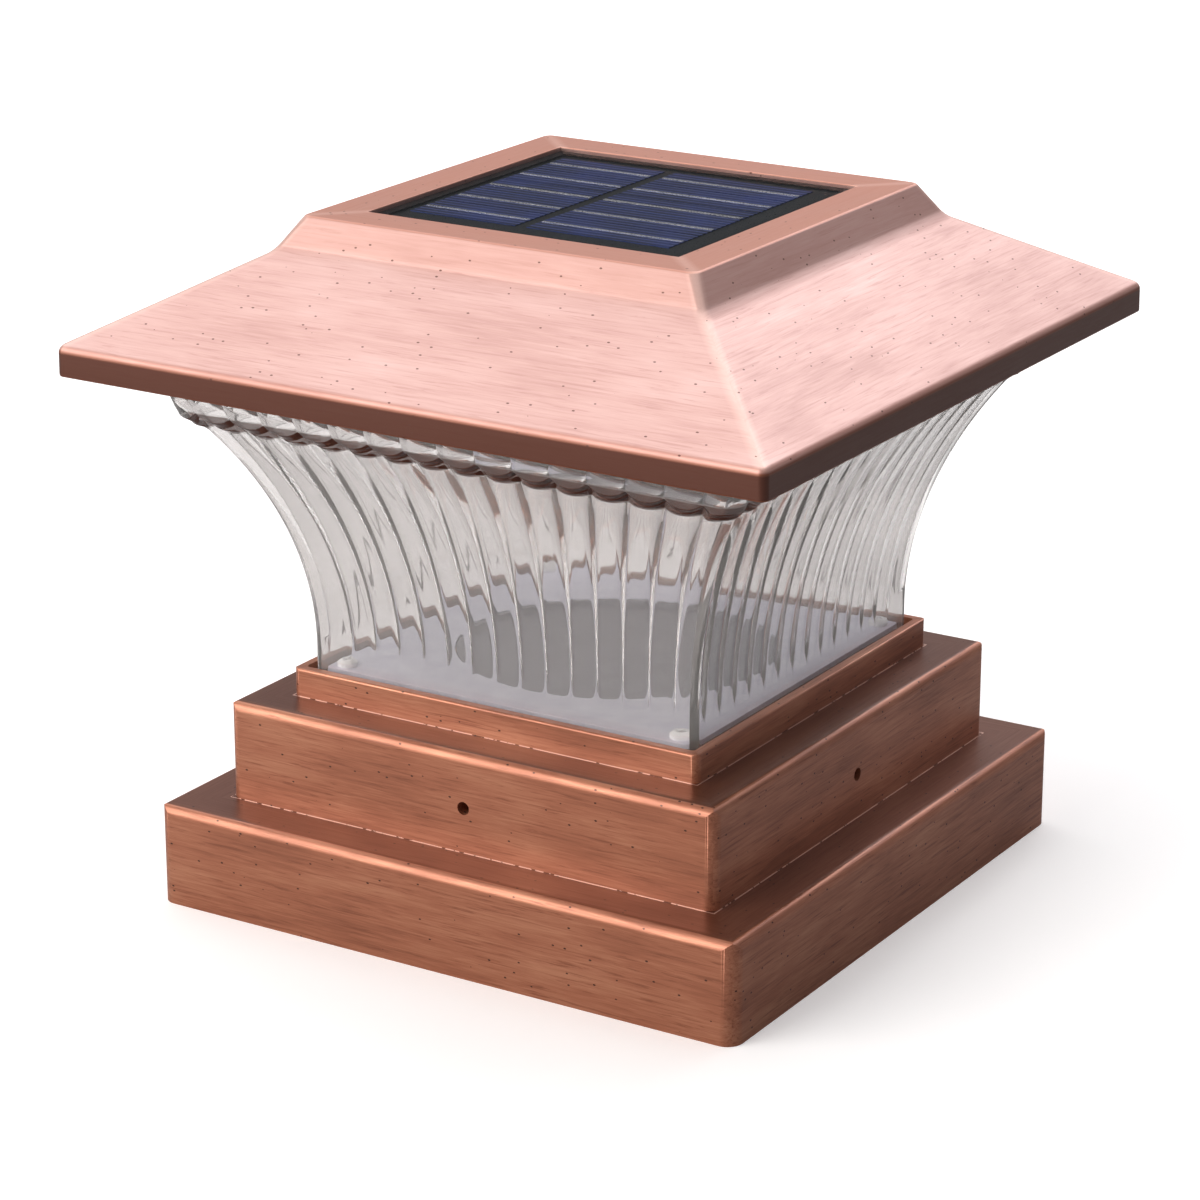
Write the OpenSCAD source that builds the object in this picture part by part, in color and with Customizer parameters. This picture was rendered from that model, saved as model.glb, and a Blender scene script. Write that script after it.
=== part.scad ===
/* [Posts] */
// Side of the largest post, which stops under the step of the lower tier
post_large = 140; // [134:1:142]
// Side of the middle post, which stops under the step of the middle tier
post_middle = 114; // [110:1:116]
// Side of the smallest post, which stops under the deck of the collar
post_small = 89; // [84:1:90]
// Play between a post and its guides, on each side
post_play = 0.5; // [0.3:0.1:1]

/* [Base] */
// Outer width of the lower tier
lower_w = 158; // [154:1:170]
// Height of the lower tier
lower_h = 25; // [18:1:40]
// Outer width of the middle tier
middle_w = 133; // [131:1:140]
// Height of the middle tier above the lower one
middle_h = 24.5; // [22:0.5:40]
// How far the collar reaches past the smallest post, on each side
collar_reach = 11; // [10.7:0.1:13]
// Height of the collar above the middle tier
collar_h = 7; // [6:0.5:12]
// Thickness of the tier walls
tier_wall = 2; // [1.6:0.1:2.6]
// Thickness of the steps that close each tier
step_t = 2.5; // [2:0.1:3]
// Radius of the lower tier's upright corners
lower_corner_r = 4; // [2:0.5:6]
// Radius of the middle tier's upright corners
middle_corner_r = 3; // [2:0.5:4]
// Radius of the collar's upright corners
collar_corner_r = 2; // [1:0.5:3]
// Radius of the top edge of the two tiers
tier_edge_r = 2.6; // [1:0.2:3.4]
// Radius of the collar's rim
rim_edge_r = 0.6; // [0.3:0.1:0.8]
// Thickness of the ribs that guide the posts
rib_t = 1.6; // [1.2:0.1:2.4]

/* [Side screw holes] */
// Diameter of the screw hole in each face of the middle tier
side_hole_d = 3.2; // [2.5:0.1:4.5]
// Height of the holes above the lower tier
side_hole_rise = 11; // [8:0.5:14]
// Diameter of the boss behind each hole
side_boss_d = 8; // [7:0.5:10]
// How far the boss stands in from the wall
side_boss_h = 2; // [1:0.5:3]

/* [Lens] */
// How far the lens foot reaches past the smallest post, on each side
foot_reach = 7.8; // [7.2:0.1:8]
// Height of the lens from its foot to the roof
lens_h = 77.5; // [72:0.5:85]
// Height of the plain band at the foot
foot_band_h = 8; // [6:0.5:12]
// Radius of the flare, seen from the side
flare_r = 95; // [88:1:115]
// Height of the slanted band under the roof
head_band_h = 9; // [7:0.5:12]
// Slant of that band from the horizontal, in degrees
head_band_slant = 70; // [62:1:80]
// How far the band stands out from the flare
ledge_out = 2; // [1.5:0.1:3.5]
// How far the ledge under the band drops
ledge_drop = 2; // [1:0.1:3]
// Number of reeds on each face
reeds = 14; // [8:1:16]
// Height of a reed above the grooves beside it, at the widest part
reed_depth = 1.5; // [0.8:0.1:1.7]
// Share of each half width that the reeds cover
reed_share = 0.904; // [0.85:0.01:0.92]
// Thickness of the clear wall, reeds included
lens_wall = 2.6; // [2.4:0.1:3]
// Thickness of the toe that holds the lens down
toe_t = 1.5; // [1.2:0.1:2]

/* [Floor] */
// Thickness of the bright floor plate
floor_t = 1.2; // [1:0.1:1.8]
// Diameter of the grey dish in the middle of the floor
dish_d = 76; // [60:1:80]
// Thickness of the dish
dish_t = 1.2; // [0.8:0.1:1.6]
// Diameter of the floor screws
floor_screw_d = 2.4; // [2:0.1:2.6]
// How far the floor screws stand past the guides of the smallest post
floor_screw_out = 0.8; // [0.6:0.1:0.9]

/* [Roof] */
// Width of the roof over the eaves
roof_w = 185; // [178:1:196]
// Height of the upright band of the eaves
eave_h = 7; // [6:0.5:10]
// Rise of the slopes from the eaves to the neck
slope_h = 19.5; // [18:0.5:26]
// Width across the neck
neck_w = 114.4; // [112:0.2:118]
// Rise of the steep part above the neck
riser_h = 8; // [7:0.5:11]
// Width of the flat top
top_w = 104; // [100:0.5:108]
// Radius of the hollow at the neck
neck_r = 6; // [3:0.5:8]
// Thickness of the roof shell
roof_wall = 2; // [1.6:0.1:2.4]

/* [Solar panel] */
// Side of the opening for the panel
panel_w = 82.6; // [80:0.2:84]
// Depth of the cover glass below the flat top
glass_sink = 0.3; // [0.2:0.1:1.2]
// Thickness of the cover glass
glass_t = 0.7; // [0.6:0.1:2]
// Thickness of the panel board
panel_board_t = 1.6; // [1:0.1:2]
// Width of the black border seal
border_w = 2.6; // [2:0.1:3.2]
// Thickness of the black border seal
border_t = 0.4; // [0.35:0.05:0.6]
// Number of cells in a column
cell_rows = 5; // [3:1:6]
// Gap between two cells of a column
cell_gap = 0.4; // [0.2:0.1:0.6]
// Length of the cells of the left column
cell_left_l = 28.7; // [24:0.1:32]
// Gap between the columns
column_gap = 3; // [2:0.1:4]
// Bare margin left of the cells
cells_left_margin = 4.4; // [4:0.1:8]
// Bare margin right of the cells
cells_right_margin = 8.3; // [4:0.1:9]
// Bare margin in front of the cells
cells_front_margin = 10; // [4:0.1:11]
// Bare margin behind the cells
cells_back_margin = 5.5; // [4:0.1:9]
// Width of the busbar on each cell
busbar_w = 0.9; // [0.6:0.1:1.4]

/* [Head] */
// Thickness of the tray that closes the roof from below
tray_t = 2; // [1.6:0.1:2.6]
// Height of the ring that centres the head on the lens
spigot_h = 5; // [3:0.5:6]
// Thickness of the foam ring on top of the lens
rim_seal_t = 1; // [0.6:0.1:1.6]
// How far the tray screws stand in from the ring that centres the head
tray_screw_in = 5.2; // [4.6:0.2:9]
// Height of the circuit board over the tray
board_stand = 4.5; // [4.2:0.1:6]
// Thickness of the circuit board
board_t = 1.6; // [1:0.1:2]
// Diameter of the frosted light cover
cover_d = 20; // [16:0.5:22]
// Depth of its dome below the tray
cover_drop = 4.5; // [3:0.5:6]

/* [Battery] */
// Diameter of the battery
battery_d = 14.2; // [13.5:0.1:14.5]
// Length of the battery without its button
battery_l = 49.2; // [48:0.2:50]
// Distance of the battery's axis from the middle
battery_off = 26; // [25.8:0.1:28]
// Play round the battery
battery_play = 0.6; // [0.4:0.1:1]
// Room for the spring behind the battery
spring_room = 5; // [4:0.5:7]
// Thickness of the battery cover
door_t = 1.8; // [1.4:0.1:1.8]

/* [Switch] */
// Travel of the switch knob
switch_travel = 2; // [1.5:0.1:2.5]
// How far the knob stands below the tray
knob_drop = 1.5; // [1:0.1:2.5]

/* [Hidden] */
$fn = 48;

// Slack between pieces that drop into each other
drop_gap = 0.3;
// Slack between flat pieces that only need to pass
flat_gap = 0.1;

// Heights from the ground up
step_1 = lower_h;
step_2 = step_1 + middle_h;
rim_z = step_2 + collar_h;
seat_depth = 3;
deck_z = rim_z - seat_depth;
deck_under = deck_z - step_t;
floor_under = deck_z + toe_t;
floor_z = floor_under + floor_t;
lens_top = deck_z + lens_h;
eave_z = lens_top;
eave_top = eave_z + eave_h;
neck_z = eave_top + slope_h;
top_z = neck_z + riser_h;
tray_z = eave_z + rim_seal_t;
tray_top = tray_z + tray_t;
board_z = tray_top + board_stand;
board_top = board_z + board_t;
glass_top = top_z - glass_sink;
glass_under = glass_top - glass_t;
panel_board_top = glass_under - border_t;
panel_board_under = panel_board_top - panel_board_t;

// Half widths
lower_in = lower_w/2 - tier_wall;
middle_in = middle_w/2 - tier_wall;
guide_large = post_large/2 + post_play;
guide_middle = post_middle/2 + post_play;
guide_small = post_small/2 + post_play;
floor_screw_at = guide_small + floor_screw_out;
collar_w = post_small + 2*collar_reach;
foot_w = post_small + 2*foot_reach;
collar_in = foot_w/2 + 0.9;
collar_skirt_in = collar_w/2 - tier_wall;
foot_in = foot_w/2 - lens_wall;
toe_in = foot_in - 1.2;
tray_half = roof_w/2 - roof_wall - drop_gap;

// The lens outline: a foot, an arc that flares outwards, a ledge and a slanted band
flare_z = deck_z + foot_band_h;
band_z = lens_top - head_band_h;
ledge_z = band_z - ledge_drop;
foot_half = foot_w/2;
flare_top_half = foot_half + flare_r - sqrt(pow(flare_r, 2) - pow(ledge_z - flare_z, 2));
band_half = flare_top_half + ledge_out;
band_lean = 1/tan(head_band_slant);
lens_top_half = band_half + head_band_h*band_lean;

// The battery bay and its ends
bay_half_w = battery_d/2 + battery_play;
battery_z = tray_top + battery_d/2 + drop_gap;
bay_roof = battery_z + battery_d/2 + battery_play;
bay_wall = 1.5;
bay_left = -battery_l/2 - spring_room;
button_l = 1.2;
bay_right = battery_l/2 + button_l + 2.4;
door_tongue = 9;
door_left = bay_left - door_tongue;
door_screw_x = bay_left - bay_wall - 3.6;
contact_t = 0.4;

// Vectors and outlines

function unit(v) = v/norm(v);

function left_of(a, b) =
    let (d = unit(b - a))
    [-d.y, d.x];

function meet(p, d, q, e) =
    p + d*(((q - p).x*e.y - (q - p).y*e.x)/(d.x*e.y - d.y*e.x));

// An open outline moved to its left by t
function inset(path, t) =
    let (last = len(path) - 1)
    [for (i = [0:last])
        i == 0 ? path[0] + t*left_of(path[0], path[1])
        : i == last ? path[last] + t*left_of(path[last - 1], path[last])
        : meet(
            path[i] + t*left_of(path[i - 1], path[i]), path[i] - path[i - 1],
            path[i] + t*left_of(path[i], path[i + 1]), path[i + 1] - path[i])];

// The points of an arc of radius r that rounds the corner b between a and c
function fillet(a, b, c, r, n) =
    let (
        u = unit(a - b),
        v = unit(c - b),
        half = acos(u*v)/2,
        centre = b + unit(u + v)*r/sin(half),
        from = b + u*r/tan(half) - centre,
        to = b + v*r/tan(half) - centre,
        start = atan2(from.y, from.x),
        turn = (atan2(to.y, to.x) - start + 540)%360 - 180)
    [for (i = [0:n]) centre + r*[cos(start + turn*i/n), sin(start + turn*i/n)]];

function rounded(path, radii, n) =
    [for (i = [0:len(path) - 1])
        each (radii[i] == 0 ? [path[i]]
            : fillet(path[i - 1], path[i], path[i + 1], radii[i], n))];

// Shapes that the pieces share

module rounded_square(w, r) {
    square([w, w - 2*r], center = true);
    square([w - 2*r, w], center = true);
    for (x = [-1, 1], y = [-1, 1])
        translate([x*(w/2 - r), y*(w/2 - r)])
            circle(r = r);
}

module side_prism(half_outline) {
    far = [for (i = [len(half_outline) - 1:-1:0])
        if (half_outline[i].x > 0) [-half_outline[i].x, half_outline[i].y]];
    reach = max([for (p = half_outline) p.x]);
    rotate([90, 0, 0])
        linear_extrude(2*reach, center = true)
            polygon(concat(half_outline, far));
}

// A square body with mitred corners, whose side has the given outline
module square_body(half_outline) {
    intersection() {
        side_prism(half_outline);
        rotate([0, 0, 90])
            side_prism(half_outline);
    }
}

module square_slab(half, z0, z1, r = 0) {
    translate([0, 0, z0])
        linear_extrude(z1 - z0)
            if (r > 0)
                rounded_square(2*half, r);
            else
                square(2*half, center = true);
}

module square_ring(outer, inner, z0, z1) {
    difference() {
        square_slab(outer, z0, z1);
        square_slab(inner, z0 - 1, z1 + 1);
    }
}

module four_corners(at) {
    for (x = [-1, 1], y = [-1, 1])
        translate([x*at, y*at, 0])
            children();
}

module four_sides() {
    for (turn = [0:90:270])
        rotate([0, 0, turn])
            children();
}

// A box given by its two opposite corners
module block(a, b) {
    translate(a)
        cube(b - a);
}

// A screw whose head sits at z, pointing down, with a cross in its domed head
module domed_screw(z, d, length, head_d, head_h) {
    translate([0, 0, z])
        difference() {
            union() {
                translate([0, 0, -length])
                    cylinder(d = d, h = length);
                cylinder(d = head_d, h = head_h*0.55);
                translate([0, 0, head_h*0.55])
                    cylinder(d1 = head_d, d2 = head_d*0.62, h = head_h*0.45);
            }
            for (turn = [0, 90])
                rotate([0, 0, turn])
                    translate([-head_d*0.26, -head_d*0.07, head_h*0.5])
                        cube([head_d*0.52, head_d*0.14, head_h]);
        }
}

// A wire made of straight runs and round bends through the points given
module wire(d, points) {
    for (i = [0:len(points) - 2]) {
        run = points[i + 1] - points[i];
        translate(points[i])
            rotate([0, acos(run.z/norm(run)), atan2(run.y, run.x)])
                cylinder(d = d, h = norm(run));
    }
    for (i = [1:len(points) - 2])
        translate(points[i])
            sphere(d = d);
}

// The base

module tier_skin(w, h, corner_r, edge_r) {
    intersection() {
        square_body(rounded([[w/2, 0], [w/2, h], [0, h]], [0, edge_r, 0], 8));
        square_slab(w/2, 0, h, corner_r);
    }
}

// Upright ribs on the inside of a wall, which centre the post
module guide_ribs(wall_in, guide, places, z0, z1) {
    four_sides()
        for (x = places)
            block([x - rib_t/2, guide, z0], [x + rib_t/2, wall_in + 0.5, z1]);
}

tier_screw_at = guide_middle + 3.6;
tier_screw_d = 2.6;
tier_boss_r = tier_screw_d/2 + 2.5;
tier_boss_h = 12;
lower_rib_at = 42;
middle_rib_at = 30;

module lower_tier() {
    color("#9c5c42")
    difference() {
        union() {
            difference() {
                tier_skin(lower_w, lower_h, lower_corner_r, tier_edge_r);
                square_slab(lower_in, -1, lower_h - step_t, lower_corner_r - tier_wall/2);
            }
            guide_ribs(lower_in, guide_large, [-lower_rib_at, 0, lower_rib_at], 1, lower_h - step_t);
        }
        square_slab(guide_middle, -1, lower_h + 1);
        four_corners(tier_screw_at)
            translate([0, 0, lower_h - step_t])
                countersunk_hole();
    }
}

countersink_h = 1.5;

module countersunk_hole() {
    translate([0, 0, -1])
        cylinder(d = tier_screw_d + 0.4, h = step_t + 2);
    translate([0, 0, -0.01])
        cylinder(d1 = 2*tier_screw_d + 0.3, d2 = tier_screw_d + 0.4, h = countersink_h);
}

module tier_screws() {
    color("#b9bcc0")
    four_corners(tier_screw_at)
        translate([0, 0, lower_h - step_t + 0.15])
            difference() {
                union() {
                    cylinder(d1 = 2*tier_screw_d, d2 = tier_screw_d, h = countersink_h);
                    cylinder(d = tier_screw_d, h = tier_boss_h);
                }
                for (turn = [0, 90])
                    rotate([0, 0, turn])
                        translate([-1.4, -0.35, -0.5])
                            cube([2.8, 0.7, 1.3]);
            }
}

module middle_tier() {
    side_hole_l = tier_wall + side_boss_h;
    color("#9c5c42")
    difference() {
        union() {
            difference() {
                translate([0, 0, step_1])
                    tier_skin(middle_w, middle_h, middle_corner_r, tier_edge_r);
                square_slab(middle_in, step_1 - 1, step_2 - step_t, middle_corner_r - tier_wall/2);
            }
            guide_ribs(middle_in, guide_middle, [-middle_rib_at, middle_rib_at], step_1 + 1, step_2 - step_t);
            four_sides()
                translate([0, middle_w/2 - tier_wall/2, step_1 + side_hole_rise])
                    rotate([90, 0, 0])
                        cylinder(d = side_boss_d, h = side_hole_l - tier_wall/2);
            four_corners(tier_screw_at)
                translate([0, 0, step_1])
                    cylinder(r = tier_boss_r, h = middle_h - step_t + 0.5);
            four_corners(floor_screw_at)
                translate([0, 0, step_2 - step_t - floor_boss_h])
                    cylinder(r = floor_boss_r, h = floor_boss_h + 1);
        }
        square_slab(guide_small, step_2 - step_t - 1, step_2 + 1, post_corner_r);
        four_sides()
            translate([0, middle_w/2 + 1, step_1 + side_hole_rise])
                rotate([90, 0, 0])
                    cylinder(d = side_hole_d, h = side_hole_l + 2);
        four_corners(tier_screw_at)
            translate([0, 0, step_1])
                cylinder(d = tier_screw_d + 0.1, h = tier_boss_h - 1);
        four_corners(floor_screw_at)
            translate([0, 0, step_2 - step_t - floor_boss_h + 1])
                cylinder(d = floor_screw_d + 0.1, h = step_t + floor_boss_h);
    }
}

floor_boss_h = 5;
floor_boss_r = 2.4;
post_corner_r = 4;
floor_head_h = 1.6;
floor_head_d = 4.8;

module upper_collar() {
    color("#a3623f")
    difference() {
        union() {
            difference() {
                translate([0, 0, step_2])
                    tier_skin(collar_w, collar_h, collar_corner_r, rim_edge_r);
                square_slab(collar_skirt_in, step_2 - 1, deck_under, collar_corner_r/2);
                square_slab(collar_in, deck_z, rim_z + 1, collar_corner_r/2);
            }
            four_corners(floor_screw_at)
                translate([0, 0, step_2])
                    cylinder(r = floor_boss_r, h = floor_under - step_2);
        }
        four_corners(floor_screw_at)
            translate([0, 0, step_2 - 1])
                cylinder(d = floor_screw_d + 0.4, h = floor_under - step_2 + 2);
    }
}

module floor_plate() {
    color("#b7b8c4")
    difference() {
        square_slab(foot_in - drop_gap, floor_under, floor_z, 1);
        translate([0, 0, floor_under - 1])
            cylinder(d = dish_d, h = floor_t + 2, $fn = 96);
        four_corners(floor_screw_at)
            translate([0, 0, floor_under - 1])
                cylinder(d = floor_screw_d + 0.4, h = floor_t + 2);
    }
}

module floor_dish() {
    r = dish_d/2 - drop_gap;
    low = deck_z;
    color("#77777c")
    rotate_extrude($fn = 96)
        difference() {
            translate([0, low])
                square([r, floor_z - flat_gap - low]);
            translate([-1, low + dish_t])
                square([r - dish_t - 2 + 1, floor_z]);
            translate([r - dish_t - 2, low + dish_t + 2])
                circle(r = 2);
            translate([r - dish_t - 2, low + dish_t + 2])
                square([2, floor_z]);
        }
}

module floor_screws() {
    color("#c8c8cc")
    four_corners(floor_screw_at)
        domed_screw(floor_z, floor_screw_d, floor_z - step_2 + step_t + floor_boss_h - 1.5, floor_head_d, floor_head_h);
}

// The lens: rings of points round a square, each side divided into reeds

reed_steps = 4;
corner_steps = 4;
reed_end_h = 4.5;

function reed_pitch(half) = 2*reed_share*half/reeds;

// Half width of the outside of the lens at height z
function lens_half(z) =
    z <= flare_z ? foot_half
    : z <= ledge_z ? foot_half + flare_r - sqrt(pow(flare_r, 2) - pow(z - flare_z, 2))
    : z < band_z ? flare_top_half
    : band_half + (z - band_z)*band_lean;

// The reeds grow out of the plain band and keep their share of the width above it
function reed_height(z) =
    let (t = min(1, max(0, (z - flare_z + 1)/reed_end_h)))
    reed_depth*t*t*(3 - 2*t)*min(1, lens_half(z)/band_half);

// One side of a ring, from its left groove to the right one and round the corner.
// The reeds stand out from the grooves by depth and hang lower by sag.
function side_points(half, depth, z, sag) =
    let (
        pitch = reed_pitch(half),
        edge = reed_share*half,
        r = (half - edge)*0.72,
        reed_points = [for (k = [0:reeds - 1], i = [0:reed_steps - 1])
            let (bulge = 1 - pow(2*i/reed_steps - 1, 2))
            [-edge + (k + i/reed_steps)*pitch, -(half - depth + depth*bulge), z - sag*bulge]],
        corner_points = [for (i = [0:corner_steps])
            let (a = -90 + 90*i/corner_steps)
            [half - r + r*cos(a), -(half - r) + r*sin(a), z - sag]])
    concat(reed_points, [[edge, -(half - depth), z]], corner_points);

function turned(points, k) =
    [for (p = points)
        k == 0 ? p : k == 1 ? [-p.y, p.x, p.z] : k == 2 ? [-p.x, -p.y, p.z] : [p.y, -p.x, p.z]];

function ring(half, depth, z, sag) =
    let (side = side_points(half, depth, z, sag))
    [for (k = [0:3]) each turned(side, k)];

flare_steps = 7;
scallop_sag = 1.6;

// Height, depth of the reeds and sag of each ring: the foot, the start of the reeds, the flare,
// the scalloped ledge and the band above it, which is plain
lens_levels = concat(
    [for (z = [deck_z, flare_z - 1, flare_z + reed_end_h*0.35, flare_z + reed_end_h])
        [z, reed_height(z), 0]],
    [for (i = [1:flare_steps])
        let (z = flare_z + reed_end_h + (ledge_z - flare_z - reed_end_h)*(1 - pow(1 - i/flare_steps, 1.25)))
        [z, reed_height(z), i == flare_steps ? scallop_sag : 0]],
    [[band_z, 0, scallop_sag], [lens_top, 0, 0]]);

function lens_ring(level) =
    ring(lens_half(level[0]), level[1], level[0], level[2]);

// Half width of the inside of the lens at height z
function lens_inside_half(z) =
    z <= flare_z ? foot_in
    : z <= ledge_z ? foot_half + flare_r - sqrt(pow(flare_r + lens_wall, 2) - pow(z - flare_z, 2))
    : lens_half(z) - lens_wall/sin(head_band_slant);

inside_steps = 9;
inside_kink = band_z + 1.5;

// Half widths and heights of the inside between its two rims
lens_inside = concat(
    [[toe_in, floor_under], [foot_in, floor_under]],
    [for (i = [0:inside_steps])
        let (z = flare_z + (ledge_z - flare_z)*i/inside_steps)
        [lens_inside_half(z), z]],
    [[lens_inside_half(inside_kink), inside_kink]]);

// A rim has one point for each reed point of a side, a square only its corners
function rim(half, z) =
    let (n = reeds*reed_steps, side = [for (i = [0:n - 1]) [-half + 2*half*i/n, -half, z]])
    [for (k = [0:3]) each turned(side, k)];

function square_at(half, z) =
    [for (k = [0:3]) each turned([[-half, -half, z]], k)];

// The lens is one closed skin: outside rings, the flat rims at foot and head, and the inside
module lens_shade() {
    outside = [for (level = lens_levels) lens_ring(level)];
    n = len(outside[0]);
    m = len(outside);
    per_side = n/4;
    s = reeds*reed_steps;
    low_rim = m*n;
    high_rim = low_rim + 4*s;
    inside = high_rim + 4*s;
    last = inside + 4*(len(lens_inside) - 1);
    outer_skin = [for (j = [0:m - 2], i = [0:n - 1])
        let (a = j*n + i, b = j*n + (i + 1)%n)
        each [[a, a + n, b + n], [a, b + n, b]]];
    foot_face = [for (k = [0:3], i = [0:per_side - 1])
        let (
            a = k*per_side + i,
            b = (a + 1)%n,
            c = low_rim + (k*s + min(i, s))%(4*s),
            d = low_rim + (k*s + min(i + 1, s))%(4*s))
        each (i < s ? [[a, b, d], [a, d, c]] : [[a, b, d]])];
    head_face = [for (k = [0:3], i = [0:per_side - 1])
        let (
            a = (m - 1)*n + k*per_side + i,
            b = (m - 1)*n + (k*per_side + i + 1)%n,
            c = high_rim + (k*s + min(i, s))%(4*s),
            d = high_rim + (k*s + min(i + 1, s))%(4*s))
        each (i < s ? [[a, d, b], [a, c, d]] : [[a, d, b]])];
    inner_skin = [for (j = [0:len(lens_inside) - 2], k = [0:3])
        let (a = inside + 4*j + k, b = inside + 4*j + (k + 1)%4)
        each [[a, b, b + 4], [a, b + 4, a + 4]]];
    low_fans = [for (k = [0:3])
        let (a = inside + k, b = inside + (k + 1)%4)
        each concat(
            [for (i = [0:s - 1]) [low_rim + k*s + i, low_rim + (k*s + i + 1)%(4*s), a]],
            [[low_rim + (k*s + s)%(4*s), b, a]])];
    high_fans = [for (k = [0:3])
        let (a = last + k, b = last + (k + 1)%4)
        each concat(
            [for (i = [0:s - 1]) [a, high_rim + (k*s + i + 1)%(4*s), high_rim + k*s + i]],
            [[a, b, high_rim + (k*s + s)%(4*s)]])];
    color([0.86, 0.86, 0.84, 0.45])
    polyhedron(
        points = concat(
            [for (r = outside) each r],
            rim(toe_in, deck_z),
            rim(lens_inside_half(lens_top), lens_top),
            [for (level = lens_inside) each square_at(level[0], level[1])]),
        faces = concat(outer_skin, foot_face, head_face, inner_skin, low_fans, high_fans));
}

module rim_seal() {
    color("#2b2b2d")
    square_ring(lens_top_half - 0.4, lens_inside_half(lens_top) + 0.3, lens_top, tray_z);
}

// The roof

roof_outline = [[roof_w/2, eave_z], [roof_w/2, eave_top], [neck_w/2, neck_z], [top_w/2, top_z], [0, top_z]];
roof_radii = [0, 1.2, neck_r, 0.8, 0];
roof_steps = 5;
eave_corner_r = 2;
panel_half = panel_w/2;
tub_wall = 1.8;
shelf_in = panel_half - 4;
shelf_t = 1.5;
tray_boss_r = 3.6;
tray_screw_d = 2.6;
tray_screw_head_d = 5.2;
tray_screw_head_h = 1.5;
tray_screw_bite = 9;

module roof_outer() {
    intersection() {
        square_body(rounded(roof_outline, roof_radii, roof_steps));
        square_slab(roof_w/2, eave_z, top_z, eave_corner_r);
    }
}

module roof_hollow() {
    under = inset(roof_outline, roof_wall);
    low = [under[0] - [0, 1]];
    path = concat(low, [for (i = [1:len(under) - 1]) under[i]]);
    square_body(rounded(path, [0, 0, neck_r + roof_wall, 0, 0], roof_steps));
}

module roof_shell() {
    color("#d9a08c")
    difference() {
        union() {
            difference() {
                roof_outer();
                roof_hollow();
            }
            square_slab(panel_half + tub_wall, panel_board_under - shelf_t, top_z - 1);
            intersection() {
                four_corners(tray_screw_at)
                    translate([0, 0, tray_top + flat_gap])
                        cylinder(r = tray_boss_r, h = neck_z - tray_top);
                translate([0, 0, -roof_wall/2])
                    roof_outer();
            }
        }
        square_slab(panel_half, panel_board_under, top_z + 1);
        square_slab(shelf_in, panel_board_under - shelf_t - 1, top_z + 1);
        four_corners(tray_screw_at)
            translate([0, 0, tray_top - 1])
                cylinder(d = tray_screw_d + 0.1, h = tray_screw_bite + 2);
    }
}

// The solar panel

panel_piece = panel_half - drop_gap;
cells_left = -panel_piece + cells_left_margin;
cells_front = -panel_piece + cells_front_margin;
cell_pitch = (2*panel_piece - cells_front_margin - cells_back_margin)/cell_rows;
cell_d = cell_pitch - cell_gap;
cell_right_l = panel_piece - cells_right_margin - cells_left - cell_left_l - column_gap;
cell_t = 0.2;
busbar_t = 0.1;

module panel_board() {
    color("#1d2a22")
    square_slab(panel_piece, panel_board_under, panel_board_top);
}

module panel_border() {
    color("#101214")
    square_ring(panel_piece, panel_piece - border_w, panel_board_top, glass_under);
}

// One child for each cell, at the cell's left front corner; $cell_l is its length
module each_cell() {
    for (row = [0:cell_rows - 1])
        for (side = [0, 1]) {
            $cell_l = side == 0 ? cell_left_l : cell_right_l;
            x = side == 0 ? cells_left : cells_left + cell_left_l + column_gap;
            translate([x, cells_front + row*cell_pitch + cell_gap/2, panel_board_top])
                children();
        }
}

module solar_cells() {
    color("#1c2340")
    each_cell()
        cube([$cell_l, cell_d, cell_t]);
}

module cell_busbars() {
    color("#d8dade")
    each_cell()
        translate([0.3, cell_d/2 - busbar_w/2, cell_t])
            cube([$cell_l - 0.6, busbar_w, busbar_t]);
}

module panel_glass() {
    color([0.1, 0.12, 0.16, 0.4])
    square_slab(panel_piece, glass_under, glass_top);
}

// The tray under the roof and what it carries

module tray_seal() {
    color("#2b2b2d")
    square_ring(tray_half - 0.5, tray_half - 4.5, tray_top, tray_top + 1.5);
}

spigot_half = lens_inside_half(tray_z - spigot_h) - 0.5;
spigot_t = 1.8;
tray_screw_at = spigot_half - spigot_t - tray_screw_in;
board_front = -14;
board_back = 32;
board_half = 30;
board_post_x = 26;
board_post_front = -9;
board_post_back = 27;
switch_x = 18;
switch_y = 18;
switch_l = 8.5;
switch_w = 4;
knob_l = 2.2;
knob_w = 1.8;
window_l = knob_l + switch_travel + 1.2;
window_w = knob_w + 0.8;
cover_flange = 1.5;
lead_hole = [-20, 8];

module at_board_posts() {
    for (x = [-board_post_x, board_post_x], y = [board_post_front, board_post_back])
        translate([x, y, 0])
            children();
}

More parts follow.
